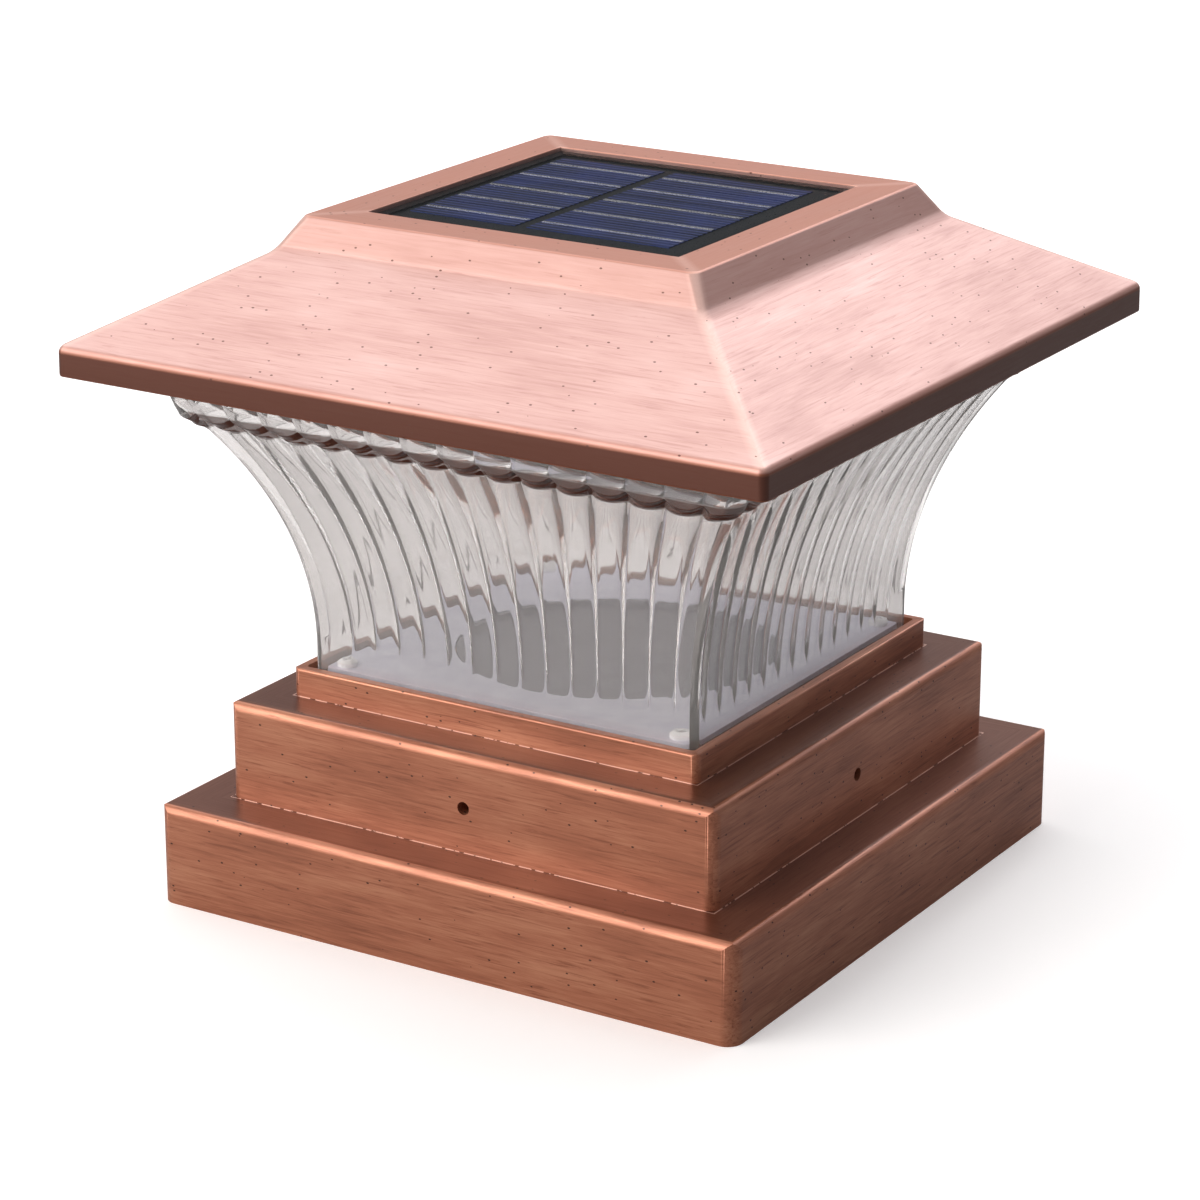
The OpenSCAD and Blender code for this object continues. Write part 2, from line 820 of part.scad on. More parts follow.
module head_tray() {
    bay_y = -battery_off;
    outer = bay_half_w + bay_wall;
    color("#cfcbc4")
    difference() {
        union() {
            square_slab(tray_half, tray_z, tray_top, eave_corner_r);
            square_ring(spigot_half, spigot_half - spigot_t, tray_z - spigot_h, tray_z);
            block([bay_left - bay_wall, bay_y - outer, tray_top - 0.5],
                [bay_right + bay_wall, bay_y + outer, bay_roof + bay_wall]);
            block([door_screw_x, bay_y - 3, tray_top - 0.5], [bay_left, bay_y + 3, tray_top + 10]);
            translate([door_screw_x, bay_y, tray_top - 0.5])
                cylinder(r = 3.4, h = 10.5);
            at_board_posts()
                translate([0, 0, tray_top - 0.5])
                    cylinder(r = 2.6, h = board_stand + 0.5);
        }
        block([bay_left, bay_y - bay_half_w, tray_z - 1], [bay_right, bay_y + bay_half_w, bay_roof]);
        block([door_left - drop_gap, bay_y - bay_half_w, tray_z - 1],
            [bay_left + 1, bay_y + bay_half_w, tray_top]);
        translate([door_screw_x, bay_y, tray_z - 1])
            cylinder(d = 2.5, h = 11.5);
        at_board_posts()
            translate([0, 0, tray_top + 0.5])
                cylinder(d = 1.9, h = board_stand + 1);
        translate([0, 0, tray_z - 1])
            cylinder(d = cover_d + 0.6, h = tray_t + 2);
        translate([switch_x, switch_y, tray_z + tray_t/2])
            cube([window_l, window_w, tray_t + 2], center = true);
        four_corners(tray_screw_at)
            translate([0, 0, tray_z - 1])
                cylinder(d = tray_screw_d + 0.4, h = tray_t + 2);
        for (x = [bay_left - 0.2, bay_right - 1])
            block([x, bay_y - contact_tab_w/2 - 0.3, bay_roof - 0.5],
                [x + 1.2, bay_y + contact_tab_w/2 + 0.3, bay_roof + bay_wall + 1]);
    }
}

module tray_screws() {
    color("#b9bcc0")
    four_corners(tray_screw_at)
        translate([0, 0, tray_z])
            mirror([0, 0, 1])
                domed_screw(0, tray_screw_d, tray_t + tray_screw_bite, tray_screw_head_d, tray_screw_head_h);
}

module circuit_board() {
    color("#1f5b38")
    difference() {
        block([-board_half, board_front, board_z], [board_half, board_back, board_top]);
        at_board_posts()
            translate([0, 0, board_z - 1])
                cylinder(d = 2.4, h = board_t + 2);
    }
}

module board_screws() {
    color("#b9bcc0")
    at_board_posts()
        domed_screw(board_top, 1.8, board_t + board_stand - 1.5, 3.6, 1.2);
}

controller_size = [5, 4, 1.6];
controller_at = [-5.5, 12, 0];
coil_d = 6.5;
coil_h = 5;
coil_at = [8, 12, 0];
capacitor_d = 5;
capacitor_h = 9;
capacitor_at = [-14, 22, 0];
resistor_size = [2, 4, 1];
resistor_at = [14, 4, 0];
resistor_pitch = 4;

module board_parts() {
    color("#303236")
    translate([0, 0, board_top]) {
        translate(controller_at - [controller_size.x/2, controller_size.y/2, 0])
            cube(controller_size);
        translate(coil_at)
            cylinder(d = coil_d, h = coil_h);
        translate(capacitor_at)
            cylinder(d = capacitor_d, h = capacitor_h);
        for (i = [0:2])
            translate(resistor_at + [i*resistor_pitch, 0, 0])
                cube(resistor_size);
    }
}

module led_chips() {
    chip = 3.5;
    color("#f1e7a8")
    for (x = [-3.5, 3.5], y = [-3.5, 3.5])
        block([x - chip/2, y - chip/2, board_z - 1], [x + chip/2, y + chip/2, board_z]);
}

module light_cover() {
    r = cover_d/2;
    wall = 1.2;
    arc_r = (r*r + cover_drop*cover_drop)/(2*cover_drop);
    arc_z = tray_z - cover_drop + arc_r;
    color([0.95, 0.95, 0.93, 0.8])
    rotate_extrude()
        difference() {
            union() {
                translate([0, tray_top])
                    square([r + 2, cover_flange]);
                translate([0, tray_z])
                    square([r, tray_t]);
                intersection() {
                    translate([0, arc_z])
                        circle(r = arc_r, $fn = 96);
                    translate([0, tray_z - cover_drop])
                        square([r, cover_drop]);
                }
            }
            translate([-1, tray_z])
                square([r - wall + 1, tray_t + cover_flange + 1]);
            intersection() {
                translate([0, arc_z])
                    circle(r = arc_r - wall, $fn = 96);
                translate([-1, tray_z - cover_drop])
                    square([r - wall + 1, cover_drop + 0.5]);
            }
            translate([-arc_r*2, tray_z - cover_drop - 1])
                square([arc_r*2, arc_r*2]);
        }
}

knob_base_l = 3.4;
knob_base_w = 2.6;
switch_h = 3.7;

module switch_body() {
    low = board_z - switch_h;
    color("#c9cacc")
    difference() {
        translate([switch_x - switch_l/2, switch_y - switch_w/2, low])
            cube([switch_l, switch_w, switch_h]);
        translate([switch_x - (knob_base_l + switch_travel)/2 - 0.2, switch_y - knob_base_w/2 - 0.1, low + 0.6])
            cube([knob_base_l + switch_travel + 0.4, knob_base_w + 0.2, 1.5]);
        translate([switch_x - (knob_l + switch_travel)/2 - 0.2, switch_y - knob_w/2 - 0.1, low - 1])
            cube([knob_l + switch_travel + 0.4, knob_w + 0.2, 2]);
    }
}

// The knob rests at the end of its travel that is off
module switch_knob() {
    low = board_z - switch_h;
    x = switch_x - switch_travel/2;
    color("#18191b")
    {
        translate([x - knob_base_l/2, switch_y - knob_base_w/2, low + 0.7])
            cube([knob_base_l, knob_base_w, 1.3]);
        translate([x - knob_l/2, switch_y - knob_w/2, tray_z - knob_drop])
            cube([knob_l, knob_w, low + 0.8 - tray_z + knob_drop]);
    }
}

// The battery and its bay

contact_tab_w = 3;

module battery() {
    color("#3a8f5a")
    translate([-battery_l/2, -battery_off, battery_z])
        rotate([0, 90, 0])
            rotate_extrude()
                polygon(concat(
                    [[0, 0], [battery_d/2 - 0.8, 0]],
                    fillet([0, 0], [battery_d/2, 0], [battery_d/2, battery_l], 0.8, 4),
                    fillet([battery_d/2, 0], [battery_d/2, battery_l], [0, battery_l], 0.8, 4),
                    [[2.7, battery_l], [2.7, battery_l + button_l], [0, battery_l + button_l]]));
}

spring_wire = 0.8;
spring_turns = 4;

// A cone-shaped coil from the wide end on the contact to the narrow end on the battery
module battery_spring() {
    steps = 8*spring_turns;
    sides = 6;
    length = spring_room - contact_t - spring_wire - 2*0.05;
    start = [bay_left + contact_t + spring_wire/2 + 0.05, -battery_off, battery_z];
    rings = [for (i = [0:steps])
        let (a = 360*spring_turns*i/steps, r = 5 - 2.4*i/steps, x = length*i/steps)
        [for (k = [0:sides - 1])
            let (b = 360*k/sides, out = r + spring_wire/2*cos(b))
            start + [x + spring_wire/2*sin(b), out*cos(a), out*sin(a)]]];
    n = sides;
    walls = [for (j = [0:steps - 1], i = [0:n - 1])
        let (a = j*n + i, b = j*n + (i + 1)%n)
        each [[a, b, b + n], [a, b + n, a + n]]];
    color("#c9cacc")
    {
        polyhedron(
            points = [for (r = rings) each r],
            faces = concat([[for (i = [n - 1:-1:0]) i]], walls, [[for (i = [0:n - 1]) steps*n + i]]));
        contact_plate(bay_left, 1);
    }
}

// A flat contact against the end wall of the bay, with a tab up through the roof of the bay
module contact_plate(x, way) {
    low = battery_z - battery_d/2 + 1;
    block([min(x, x + way*contact_t), -battery_off - 5.5, low],
        [max(x, x + way*contact_t), -battery_off + 5.5, bay_roof - 0.1]);
    block([min(x, x + way*contact_t), -battery_off - contact_tab_w/2, bay_roof - 0.2],
        [max(x, x + way*contact_t), -battery_off + contact_tab_w/2, bay_roof + bay_wall + 3]);
}

module battery_contact() {
    tip = battery_l/2 + button_l + 0.05;
    y = -battery_off;
    color("#c9a45a")
    {
        contact_plate(bay_right, -1);
        translate([0, y - 2.5, 0])
            rotate([90, 0, 0])
                mirror([0, 0, 1])
                    linear_extrude(5)
                        polygon([
                            [bay_right - contact_t + 0.05, battery_z - 4], [tip, battery_z - 1],
                            [tip, battery_z + 1], [bay_right - contact_t + 0.05, battery_z + 4],
                            [bay_right - contact_t + 0.05, battery_z + 3.4],
                            [tip + 0.4, battery_z + 0.8], [tip + 0.4, battery_z - 0.8],
                            [bay_right - contact_t + 0.05, battery_z - 3.4]]);
    }
}

module battery_door() {
    y = -battery_off;
    half = bay_half_w - drop_gap;
    low = tray_z + 0.1;
    color("#cfcbc4")
    difference() {
        union() {
            block([door_left, y - half, low], [bay_right - drop_gap, y + half, low + door_t]);
            for (x = [-18, 0, 18])
                block([x - 0.6, y - half, low + door_t - 0.1], [x + 0.6, y - half + 1.2, low + door_t + 1.4]);
        }
        translate([door_screw_x, y, low - 1])
            cylinder(d = 2.8, h = door_t + 2);
        for (i = [-2:2])
            block([bay_right - 6 + i*1.4, y - 4, low - 1], [bay_right - 5.4 + i*1.4, y + 4, low + 0.4]);
    }
}

module door_screw() {
    color("#b9bcc0")
    translate([door_screw_x, -battery_off, tray_z + 0.1])
        mirror([0, 0, 1])
            domed_screw(0, 2.4, door_t + 7, 4.6, 1.4);
}

// Wires inside the head

lead_d = 1.3;
lead_bend = 3;
lead_turn_at = 20;
lead_land = 4;
lead_gap = 4;

module panel_leads() {
    drop = panel_board_under - board_top;
    for (i = [0, 1])
        color(i == 0 ? "#b3261e" : "#1b1b1d")
        translate([lead_hole.x, lead_hole.y + lead_gap*i, 0])
            wire(lead_d, [
                [0, 0, panel_board_under], [0, 0, panel_board_under - drop*0.3],
                [lead_bend, 0, panel_board_under - drop*0.45], [lead_bend, 0, board_top]]);
}

module battery_leads() {
    tab_top = bay_roof + bay_wall + 2.4;
    for (side = [-1, 1])
        color(side < 0 ? "#1b1b1d" : "#b3261e")
        wire(lead_d, [
            [side < 0 ? bay_left + contact_t + lead_d/2 : bay_right - contact_t - lead_d/2,
                -battery_off, tab_top],
            [side*lead_turn_at, -battery_off, tab_top],
            [side*lead_turn_at, board_front + lead_land, tab_top],
            [side*lead_turn_at, board_front + lead_land, board_top]]);
}

lower_tier();
middle_tier();
tier_screws();
upper_collar();
floor_plate();
floor_dish();
floor_screws();
lens_shade();
rim_seal();
roof_shell();
tray_seal();
head_tray();
tray_screws();
panel_board();
panel_border();
solar_cells();
cell_busbars();
panel_glass();
circuit_board();
board_screws();
board_parts();
led_chips();
light_cover();
switch_body();
switch_knob();
battery();
battery_spring();
battery_contact();
battery_door();
door_screw();
panel_leads();
battery_leads();
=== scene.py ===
# %% [markdown]
# # A solar post light
#
# The light caps a fence post. Its roof and stepped base are zinc castings with an antique copper
# plating, and between them stands a flared lens of clear plastic whose faces are pressed into
# reeds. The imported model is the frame: every piece that is made here stands where the model has
# it. Pieces that the model already has in their true shape only get their finish here. The roof
# and the lens are made again, because their soft edges and fine reeds carry most of the look.

# %% Load the frame
from math import cos, pi, radians, sin, sqrt, tan

import bmesh
import bpy
from mathutils import Matrix, Vector


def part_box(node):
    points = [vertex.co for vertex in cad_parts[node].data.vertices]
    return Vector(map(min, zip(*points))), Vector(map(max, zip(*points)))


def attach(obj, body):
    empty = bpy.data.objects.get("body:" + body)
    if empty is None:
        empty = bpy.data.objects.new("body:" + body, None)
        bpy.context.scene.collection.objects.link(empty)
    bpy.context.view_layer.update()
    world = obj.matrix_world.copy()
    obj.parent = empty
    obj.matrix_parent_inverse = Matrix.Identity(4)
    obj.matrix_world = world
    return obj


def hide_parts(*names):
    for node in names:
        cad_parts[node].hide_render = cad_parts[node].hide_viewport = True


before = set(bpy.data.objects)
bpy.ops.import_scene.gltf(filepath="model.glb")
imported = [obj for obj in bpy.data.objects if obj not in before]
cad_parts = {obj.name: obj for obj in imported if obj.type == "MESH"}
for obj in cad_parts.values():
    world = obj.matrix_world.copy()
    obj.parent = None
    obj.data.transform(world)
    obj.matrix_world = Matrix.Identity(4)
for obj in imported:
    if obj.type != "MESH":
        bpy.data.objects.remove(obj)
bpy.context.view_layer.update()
MM = 0.001

# %% [markdown]
# The camera stands where the photographer stood. Its place was found by fitting the corners of
# the roof, the tiers and the lens, so the turn, the height and the long lens are measured values.
# A camera looks along its own -Z, so its rotation is built from three directions: right, up and
# back, where back points from the light to the camera.

# %% The camera
CAMERA_AT = Vector((460.741, -750.567, 366.221)) * MM
CAMERA_RIGHT = Vector((0.85002, 0.52675, 0.0))
CAMERA_UP = Vector((-0.16936, 0.27330, 0.94690))
SENSOR_MM = 36.0
PHOTO_PX = 1200
FOCAL_PX = 3876.1


def add_camera():
    data = bpy.data.cameras.new("camera")
    data.sensor_width = SENSOR_MM
    data.lens = FOCAL_PX / PHOTO_PX * SENSOR_MM
    data.clip_start = 0.05
    data.clip_end = 20
    camera = bpy.data.objects.new("camera", data)
    bpy.context.scene.collection.objects.link(camera)
    back = CAMERA_RIGHT.cross(CAMERA_UP)
    turn = Matrix((CAMERA_RIGHT, CAMERA_UP, back)).transposed().to_4x4()
    camera.matrix_world = Matrix.Translation(CAMERA_AT) @ turn
    bpy.context.scene.camera = camera
    return camera


camera = add_camera()
print("focal length:", round(camera.data.lens, 1), "mm")

# %% [markdown]
# Every material below is a small tree of nodes. Two helpers keep them short: one turns a colour as
# a paint chart writes it into the linear numbers that light is reckoned in, and one adds a node
# with its settings and inputs in one call and hands back its outputs. An input takes a number, a
# colour or the output of another node. Patterns get their scale from a size in millimetres.

# %% Helpers for materials
def linear(code):
    """A #RRGGBB colour as the linear (r, g, b, 1) that the shaders take."""
    parts = [int(code[i:i + 2], 16) / 255 for i in (1, 3, 5)]
    flat = [c / 12.92 if c <= 0.04045 else ((c + 0.055) / 1.055) ** 2.4 for c in parts]
    return (*flat, 1.0)


def per_mm(size):
    """The Scale of a texture whose pattern repeats about every size millimetres."""
    return 1 / (size * MM)


def feed(tree, node, inputs):
    """Gives a node's inputs their values, or links them to other nodes' outputs."""
    for name, value in inputs.items():
        if isinstance(value, bpy.types.NodeSocket):
            tree.links.new(value, node.inputs[name])
        else:
            node.inputs[name].default_value = value


def add(tree, kind, inputs=None, stops=(), **settings):
    """Adds a node and returns its outputs; stops are a colour ramp's (position, colour)."""
    node = tree.nodes.new("ShaderNode" + kind)
    for name, value in settings.items():
        setattr(node, name, value)
    feed(tree, node, inputs or {})
    if stops:
        elements = node.color_ramp.elements
        while len(elements) < len(stops):
            elements.new(0.5)
        for element, (position, code) in zip(elements, stops):
            element.position = position
            element.color = linear(code)
    return node.outputs


def material(name):
    """An empty material: its tree, its Principled shader and its Object coordinates."""
    made = bpy.data.materials.new(name)
    made.use_nodes = True
    tree = made.node_tree
    place = add(tree, "TexCoord")["Object"]
    return made, tree, tree.nodes["Principled BSDF"], place


print("a mid grey is", [round(c, 3) for c in linear("#808080")])

# %% [markdown]
# The copper is an antique plating on a zinc casting: copper is laid on, darkened with a patina,
# and then brushed back with a wheel that runs along each face. So it is a metal with fine streaks
# that follow the nearest edge. Light and shade are painted into its colour too: painted shade on
# the tops of the steps, and painted highlights along the hips, the seams and the eave's edges. The
# streaks need a direction, and the position alone gives it: on the faces that look to the left and
# right, x is the larger coordinate, and there the streaks run along y.

# %% Where a pattern lies on a square body
def face_coordinates(tree, place):
    """Coordinates that run along each face of a square body: along, outwards, up."""
    x, y, z = add(tree, "SeparateXYZ", {"Vector": place})
    wide = add(tree, "Math", {0: x}, operation="ABSOLUTE")[0]
    deep = add(tree, "Math", {0: y}, operation="ABSOLUTE")[0]
    side = add(tree, "Math", {0: wide, 1: deep}, operation="GREATER_THAN")[0]
    along = add(tree, "Mix", {"Factor": side, "A": x, "B": y})[0]
    out = add(tree, "Mix", {"Factor": side, "A": y, "B": x})[0]
    return add(tree, "CombineXYZ", {"X": along, "Y": out, "Z": z})["Vector"]


def soft_band(tree, value, low_mm, high_mm, soft_mm, strength=1.0):
    """Strength where a length lies between low and high, falling to 0 over soft."""
    low, high, soft = low_mm * MM, high_mm * MM, soft_mm * MM
    rise = add(tree, "MapRange", {"Value": value, "From Min": low - soft, "From Max": low})
    fall = add(tree, "MapRange", {"Value": value, "From Min": high + soft, "From Max": high,
                                  "To Max": strength})
    return add(tree, "Math", {0: rise[0], 1: fall[0]}, operation="MULTIPLY")[0]


# %% [markdown]
# The colour is built in layers: a ramp over streaks, clouds and stains gives the patina, dark
# scratches lie in it, and the pits of the casting stay dark. Bands at given heights give the dark
# eave band and paint light and shade: highlights along the eave's rounded edges, and shade on the
# riser, the flat top and the tops of the steps. A soft pale painted highlight runs along the hips,
# and a thin broken one along the fillet of each seam between two castings. The light is soft, so a
# metal that is fully metallic would show little but the room. A part of plain colour and a thin
# lacquer bring out the pink sheen, and on the roof the pale pink is painted sheen.

# %% Antique copper
STREAK_LENGTH_MM = 7.0
STREAK_WIDTH_MM = 0.32
STREAK_DEPTH_MM = 0.04
STREAK_SHARE = 0.4
CLOUD_MM = 6.0
CLOUD_SQUEEZE = 0.15
CLOUD_SHARE = 0.35
STAIN_MM = 30.0
STAIN_SHARE = 0.25
SCRATCH_COVER = 0.55
PIT_SPACING_MM = 2.0
PIT_MM = 0.22
PIT_SQUEEZE = 0.6
PIT_LOT = 0.45
PIT_COVER = 0.85
CREASE_MM = 0.18
CREASE_BREAK_MM = 2.2
CREASE_LOT = 0.4
HIP_MM = 1.8
SLOPE_MM = (138.4, 165.0)
SLOPE_SOFT_MM = 1.0
BARE_METAL = 0.55
LACQUER = 0.4


def antique_copper(name, bright, middle, dark, roughness, pits, creases=(), bands=(), hips=0.0):
    """Creases are (half width, height) and bands (low, high, soft edge, colour, strength) in mm."""
    made, tree, shader, place = material(name)
    x, y, z = add(tree, "SeparateXYZ", {"Vector": place})
    wide = add(tree, "Math", {0: x}, operation="ABSOLUTE")[0]
    deep = add(tree, "Math", {0: y}, operation="ABSOLUTE")[0]
    outer = add(tree, "Math", {0: wide, 1: deep}, operation="MAXIMUM")[0]

    # Fine streaks of the wheel, longer clouds of patina and slow stains make one tone
    face = face_coordinates(tree, place)
    squeeze = STREAK_WIDTH_MM / STREAK_LENGTH_MM
    drawn = add(tree, "Mapping", {"Vector": face, "Scale": (squeeze, 1, 1)})[0]
    streaks = add(tree, "TexNoise", {"Vector": drawn, "Scale": per_mm(STREAK_WIDTH_MM * 2),
                                     "Detail": 4.0, "Roughness": 0.68, "Distortion": 0.6})["Fac"]
    drawn = add(tree, "Mapping", {"Vector": face, "Scale": (CLOUD_SQUEEZE, 1, 1)})[0]
    clouds = add(tree, "TexNoise", {"Vector": drawn, "Scale": per_mm(CLOUD_MM),
                                    "Detail": 3.0, "Roughness": 0.6})["Fac"]
    stains = add(tree, "TexNoise", {"Vector": place, "Scale": per_mm(STAIN_MM),
                                    "Detail": 2.0})["Fac"]
    tone = add(tree, "Math", {0: stains, 1: STAIN_SHARE}, operation="MULTIPLY")[0]
    for part, share in ((clouds, CLOUD_SHARE), (streaks, STREAK_SHARE)):
        tone = add(tree, "Math", {0: part, 1: share, 2: tone}, operation="MULTIPLY_ADD")[0]
    patina = [(0.32, dark), (0.5, middle), (0.68, bright)]
    colour = add(tree, "ValToRGB", {"Fac": tone}, stops=patina)["Color"]

    scratches = add(tree, "MapRange", {"Value": streaks, "From Min": 0.42, "From Max": 0.34,
                                       "To Max": SCRATCH_COVER})[0]
    layers = [(scratches, dark)]
    for low, high, soft, code, strength in bands:
        layers.append((soft_band(tree, z, low, high, soft, strength), code))

    # A painted highlight: a soft pale band along the rounded hips, where the ridge catches the
    # light
    if hips:
        apart = add(tree, "Math", {0: wide, 1: deep}, operation="SUBTRACT")[0]
        apart = add(tree, "Math", {0: apart}, operation="ABSOLUTE")[0]
        ridge = add(tree, "MapRange", {"Value": apart, "From Min": 1.6 * HIP_MM * MM,
                                       "From Max": 0.3 * HIP_MM * MM})[0]
        slope = soft_band(tree, z, *SLOPE_MM, SLOPE_SOFT_MM, hips)
        painted_highlight = add(tree, "Math", {0: ridge, 1: slope}, operation="MULTIPLY")[0]
        layers.append((painted_highlight, "#F7D3C6"))

    # A painted highlight: a thin pale line on the small fillet where two castings meet, broken by
    # noise
    broken = add(tree, "TexNoise", {"Vector": place, "Scale": per_mm(CREASE_BREAK_MM),
                                    "Detail": 2.0})["Fac"]
    kept = add(tree, "Math", {0: broken, 1: CREASE_LOT}, operation="GREATER_THAN")[0]
    for half, height in creases:
        away = 0.0
        for value, at in ((outer, half), (z, height)):
            off = add(tree, "Math", {0: value, 1: at * MM}, operation="SUBTRACT")[0]
            off = add(tree, "Math", {0: off}, operation="ABSOLUTE")[0]
            away = add(tree, "Math", {0: off, 1: away}, operation="ADD")[0]
        near = add(tree, "Math", {0: away, 1: CREASE_MM * MM}, operation="LESS_THAN")[0]
        painted_highlight = add(tree, "Math", {0: near, 1: kept}, operation="MULTIPLY")[0]
        layers.append((painted_highlight, "#DDB3A2"))

    # Pits of the casting, dark specks that the plating did not close
    speck = add(tree, "Mapping", {"Vector": face, "Scale": (PIT_SQUEEZE, 1, 1)})[0]
    cells = add(tree, "TexVoronoi", {"Vector": speck, "Scale": per_mm(PIT_SPACING_MM)})
    reach = PIT_MM / PIT_SPACING_MM
    near = add(tree, "Math", {0: cells["Distance"], 1: reach}, operation="LESS_THAN")[0]
    lot = add(tree, "SeparateColor", {"Color": cells["Color"]})["Red"]
    chosen = add(tree, "Math", {0: lot, 1: PIT_LOT}, operation="GREATER_THAN")[0]
    pit = add(tree, "Math", {0: near, 1: chosen}, operation="MULTIPLY")[0]
    shade = add(tree, "Math", {0: pit, 1: PIT_COVER}, operation="MULTIPLY")[0]
    layers.append((shade, pits))

    for factor, code in layers:
        inputs = {"Factor": factor, 6: colour, 7: linear(code)}
        colour = add(tree, "Mix", inputs, data_type="RGBA")[2]
    rough = add(tree, "MapRange", {"Value": tone, "From Min": 0.35, "From Max": 0.65,
                                   "To Min": roughness + 0.06, "To Max": roughness - 0.05})[0]
    height = add(tree, "Math", {0: streaks, 1: pit}, operation="SUBTRACT")[0]
    normal = add(tree, "Bump", {"Height": height, "Distance": STREAK_DEPTH_MM * MM,
                                "Strength": 0.4})[0]
    feed(tree, shader, {"Base Color": colour, "Roughness": rough, "Normal": normal,
                        "Metallic": BARE_METAL, "Coat Weight": LACQUER, "Coat Roughness": 0.25})
    return made


# The tiers: a deep reddish brown, with painted shade darkening the tops of the steps
tier_copper = antique_copper("antique_copper_plating", "#CF9070", "#B27054", "#87503A", 0.4,
                             "#2A1410", creases=[(66.5, 25.0), (55.5, 49.5)],
                             bands=[(24.85, 25.1, 0.1, "#5E3524", 0.8),
                                    (49.35, 49.6, 0.1, "#5E3524", 0.85)])
# The roof: the same copper painted pale pink, as painted sheen of the lamp on the slopes, with a
# dark eave band, painted highlights on its rounded edges and painted shade on the riser and the
# flat top
roof_copper_painted_sheen = antique_copper("copper_painted_sheen", "#DDBAB3", "#D2A9A1", "#C2968E", 0.5,
                             "#5A3226", hips=0.45,
                             bands=[(120.0, 137.0, 0.5, "#54240D", 0.97),
                                    # painted highlights: copper lines along the eave's rounded top
                                    # and bottom edges
                                    (136.9, 138.0, 0.5, "#AE6A50", 0.45),
                                    (130.9, 131.3, 0.2, "#9A5434", 0.6),
                                    # painted shade: the riser and the flat top catch less of the
                                    # lamp than the slopes
                                    (160.0, 165.2, 2.0, "#B38478", 0.5),
                                    (165.3, 170.0, 0.2, "#BE7F67", 0.75)])
print("copper streaks:", STREAK_LENGTH_MM, "x", STREAK_WIDTH_MM, "mm")

# %% [markdown]
# The lens is clear plastic, pressed in a polished mould. Clear things take their look from what is
# behind them, so the shader is plain glass with the refraction of acrylic. Light has to reach the
# floor behind it, and rays to a lamp do not bend, so for those rays the lens is a clear film. A
# little haze stands for the fine clouding of a moulded wall. The hem of the plain band looks down,
# and the real one shows the copper of the base as dark crescents. A few bounces of light do not
# find them, so that reflection is painted on the hem as a dark copper colour. The pane over the
# cells is bonded to them, so it does not refract on its own: it is a thin dark film with a gloss.

# %% Clear plastics
ACRYLIC_IOR = 1.49
RIPPLE_MM = 9.0
RIPPLE_DEPTH_MM = 0.05
HEM_TILT = -0.55
HEM_LOW_MM = 118.0
HEM_HIGH_MM = 121.6
HEM_SOFT_MM = 0.5
HEM_COVER = 0.8


def clear_plastic(name, tint, hem_reflection, film_tint, roughness, haze):
    """Clear plastic with a painted reflection of dark copper on its hem; rays to a lamp pass it as
    a film.
    """
    made, tree, shader, place = material(name)
    normal = add(tree, "NewGeometry")["Normal"]
    facing = add(tree, "SeparateXYZ", {"Vector": normal})["Z"]
    downward = add(tree, "Math", {0: facing, 1: HEM_TILT}, operation="LESS_THAN")[0]
    height = add(tree, "SeparateXYZ", {"Vector": place})["Z"]
    near = soft_band(tree, height, HEM_LOW_MM, HEM_HIGH_MM, HEM_SOFT_MM)
    hem = add(tree, "Math", {0: downward, 1: near}, operation="MULTIPLY")[0]
    # The hem's painted reflection: dark copper mixed in where the wall looks down near the ledge
    inputs = {"Factor": hem, 6: linear(tint), 7: linear(hem_reflection)}
    colour = add(tree, "Mix", inputs, data_type="RGBA")[2]
    solid = add(tree, "Math", {0: hem, 1: HEM_COVER, 2: haze}, operation="MULTIPLY_ADD")[0]
    clear = add(tree, "Math", {0: 1.0, 1: solid}, operation="SUBTRACT")[0]
    ripple = add(tree, "TexNoise", {"Vector": place, "Scale": per_mm(RIPPLE_MM),
                                    "Detail": 2.0})["Fac"]
    waves = add(tree, "Bump", {"Height": ripple, "Distance": RIPPLE_DEPTH_MM * MM,
                               "Strength": 0.4})[0]
    feed(tree, shader, {"Base Color": colour, "Transmission Weight": clear, "Normal": waves,
                        "Roughness": roughness, "IOR": ACRYLIC_IOR})
    film = add(tree, "BsdfTransparent", {"Color": linear(film_tint)})[0]
    to_lamp = add(tree, "LightPath")["Is Shadow Ray"]
    both = add(tree, "MixShader", {0: to_lamp, 1: shader.outputs[0], 2: film})[0]
    feed(tree, tree.nodes["Material Output"], {"Surface": both})
    return made


def dark_pane(name, code, cover):
    """A thin glossy pane that darkens what lies under it by its cover."""
    made, tree, shader, place = material(name)
    feed(tree, shader, {"Base Color": linear(code), "Roughness": 0.04, "Alpha": cover,
                        "Specular IOR Level": 0.2})
    return made


# Pressed acrylic: nearly colourless, with sharp bright edges on the reeds and a painted reflection
# of dark copper on the hem
lens_plastic = clear_plastic("pressed_clear_acrylic", "#DEDCDB", "#52342D", "#F4F4F2", 0.03, 0.1)
# The cover glass of the panel: a wet black shine
panel_pane = dark_pane("panel_glass_pane", "#06080E", 0.14)
print("acrylic bends light by", ACRYLIC_IOR)

# %% [markdown]
# Most small parts are moulded plastic, stamped metal or foam. Each gets its real grain: moulded
# ABS has a fine spark-eroded texture, rolled sheet a faint mottle, and foam has open cells. One
# function makes them all, from a colour pair, a grain size and a depth. Grain finer than half a
# millimetre would not show, so the finest is drawn about that coarse.

# %% Plain finishes
BLOTCH_PER_GRAIN = 14
ROUGHNESS_SWING = 0.08


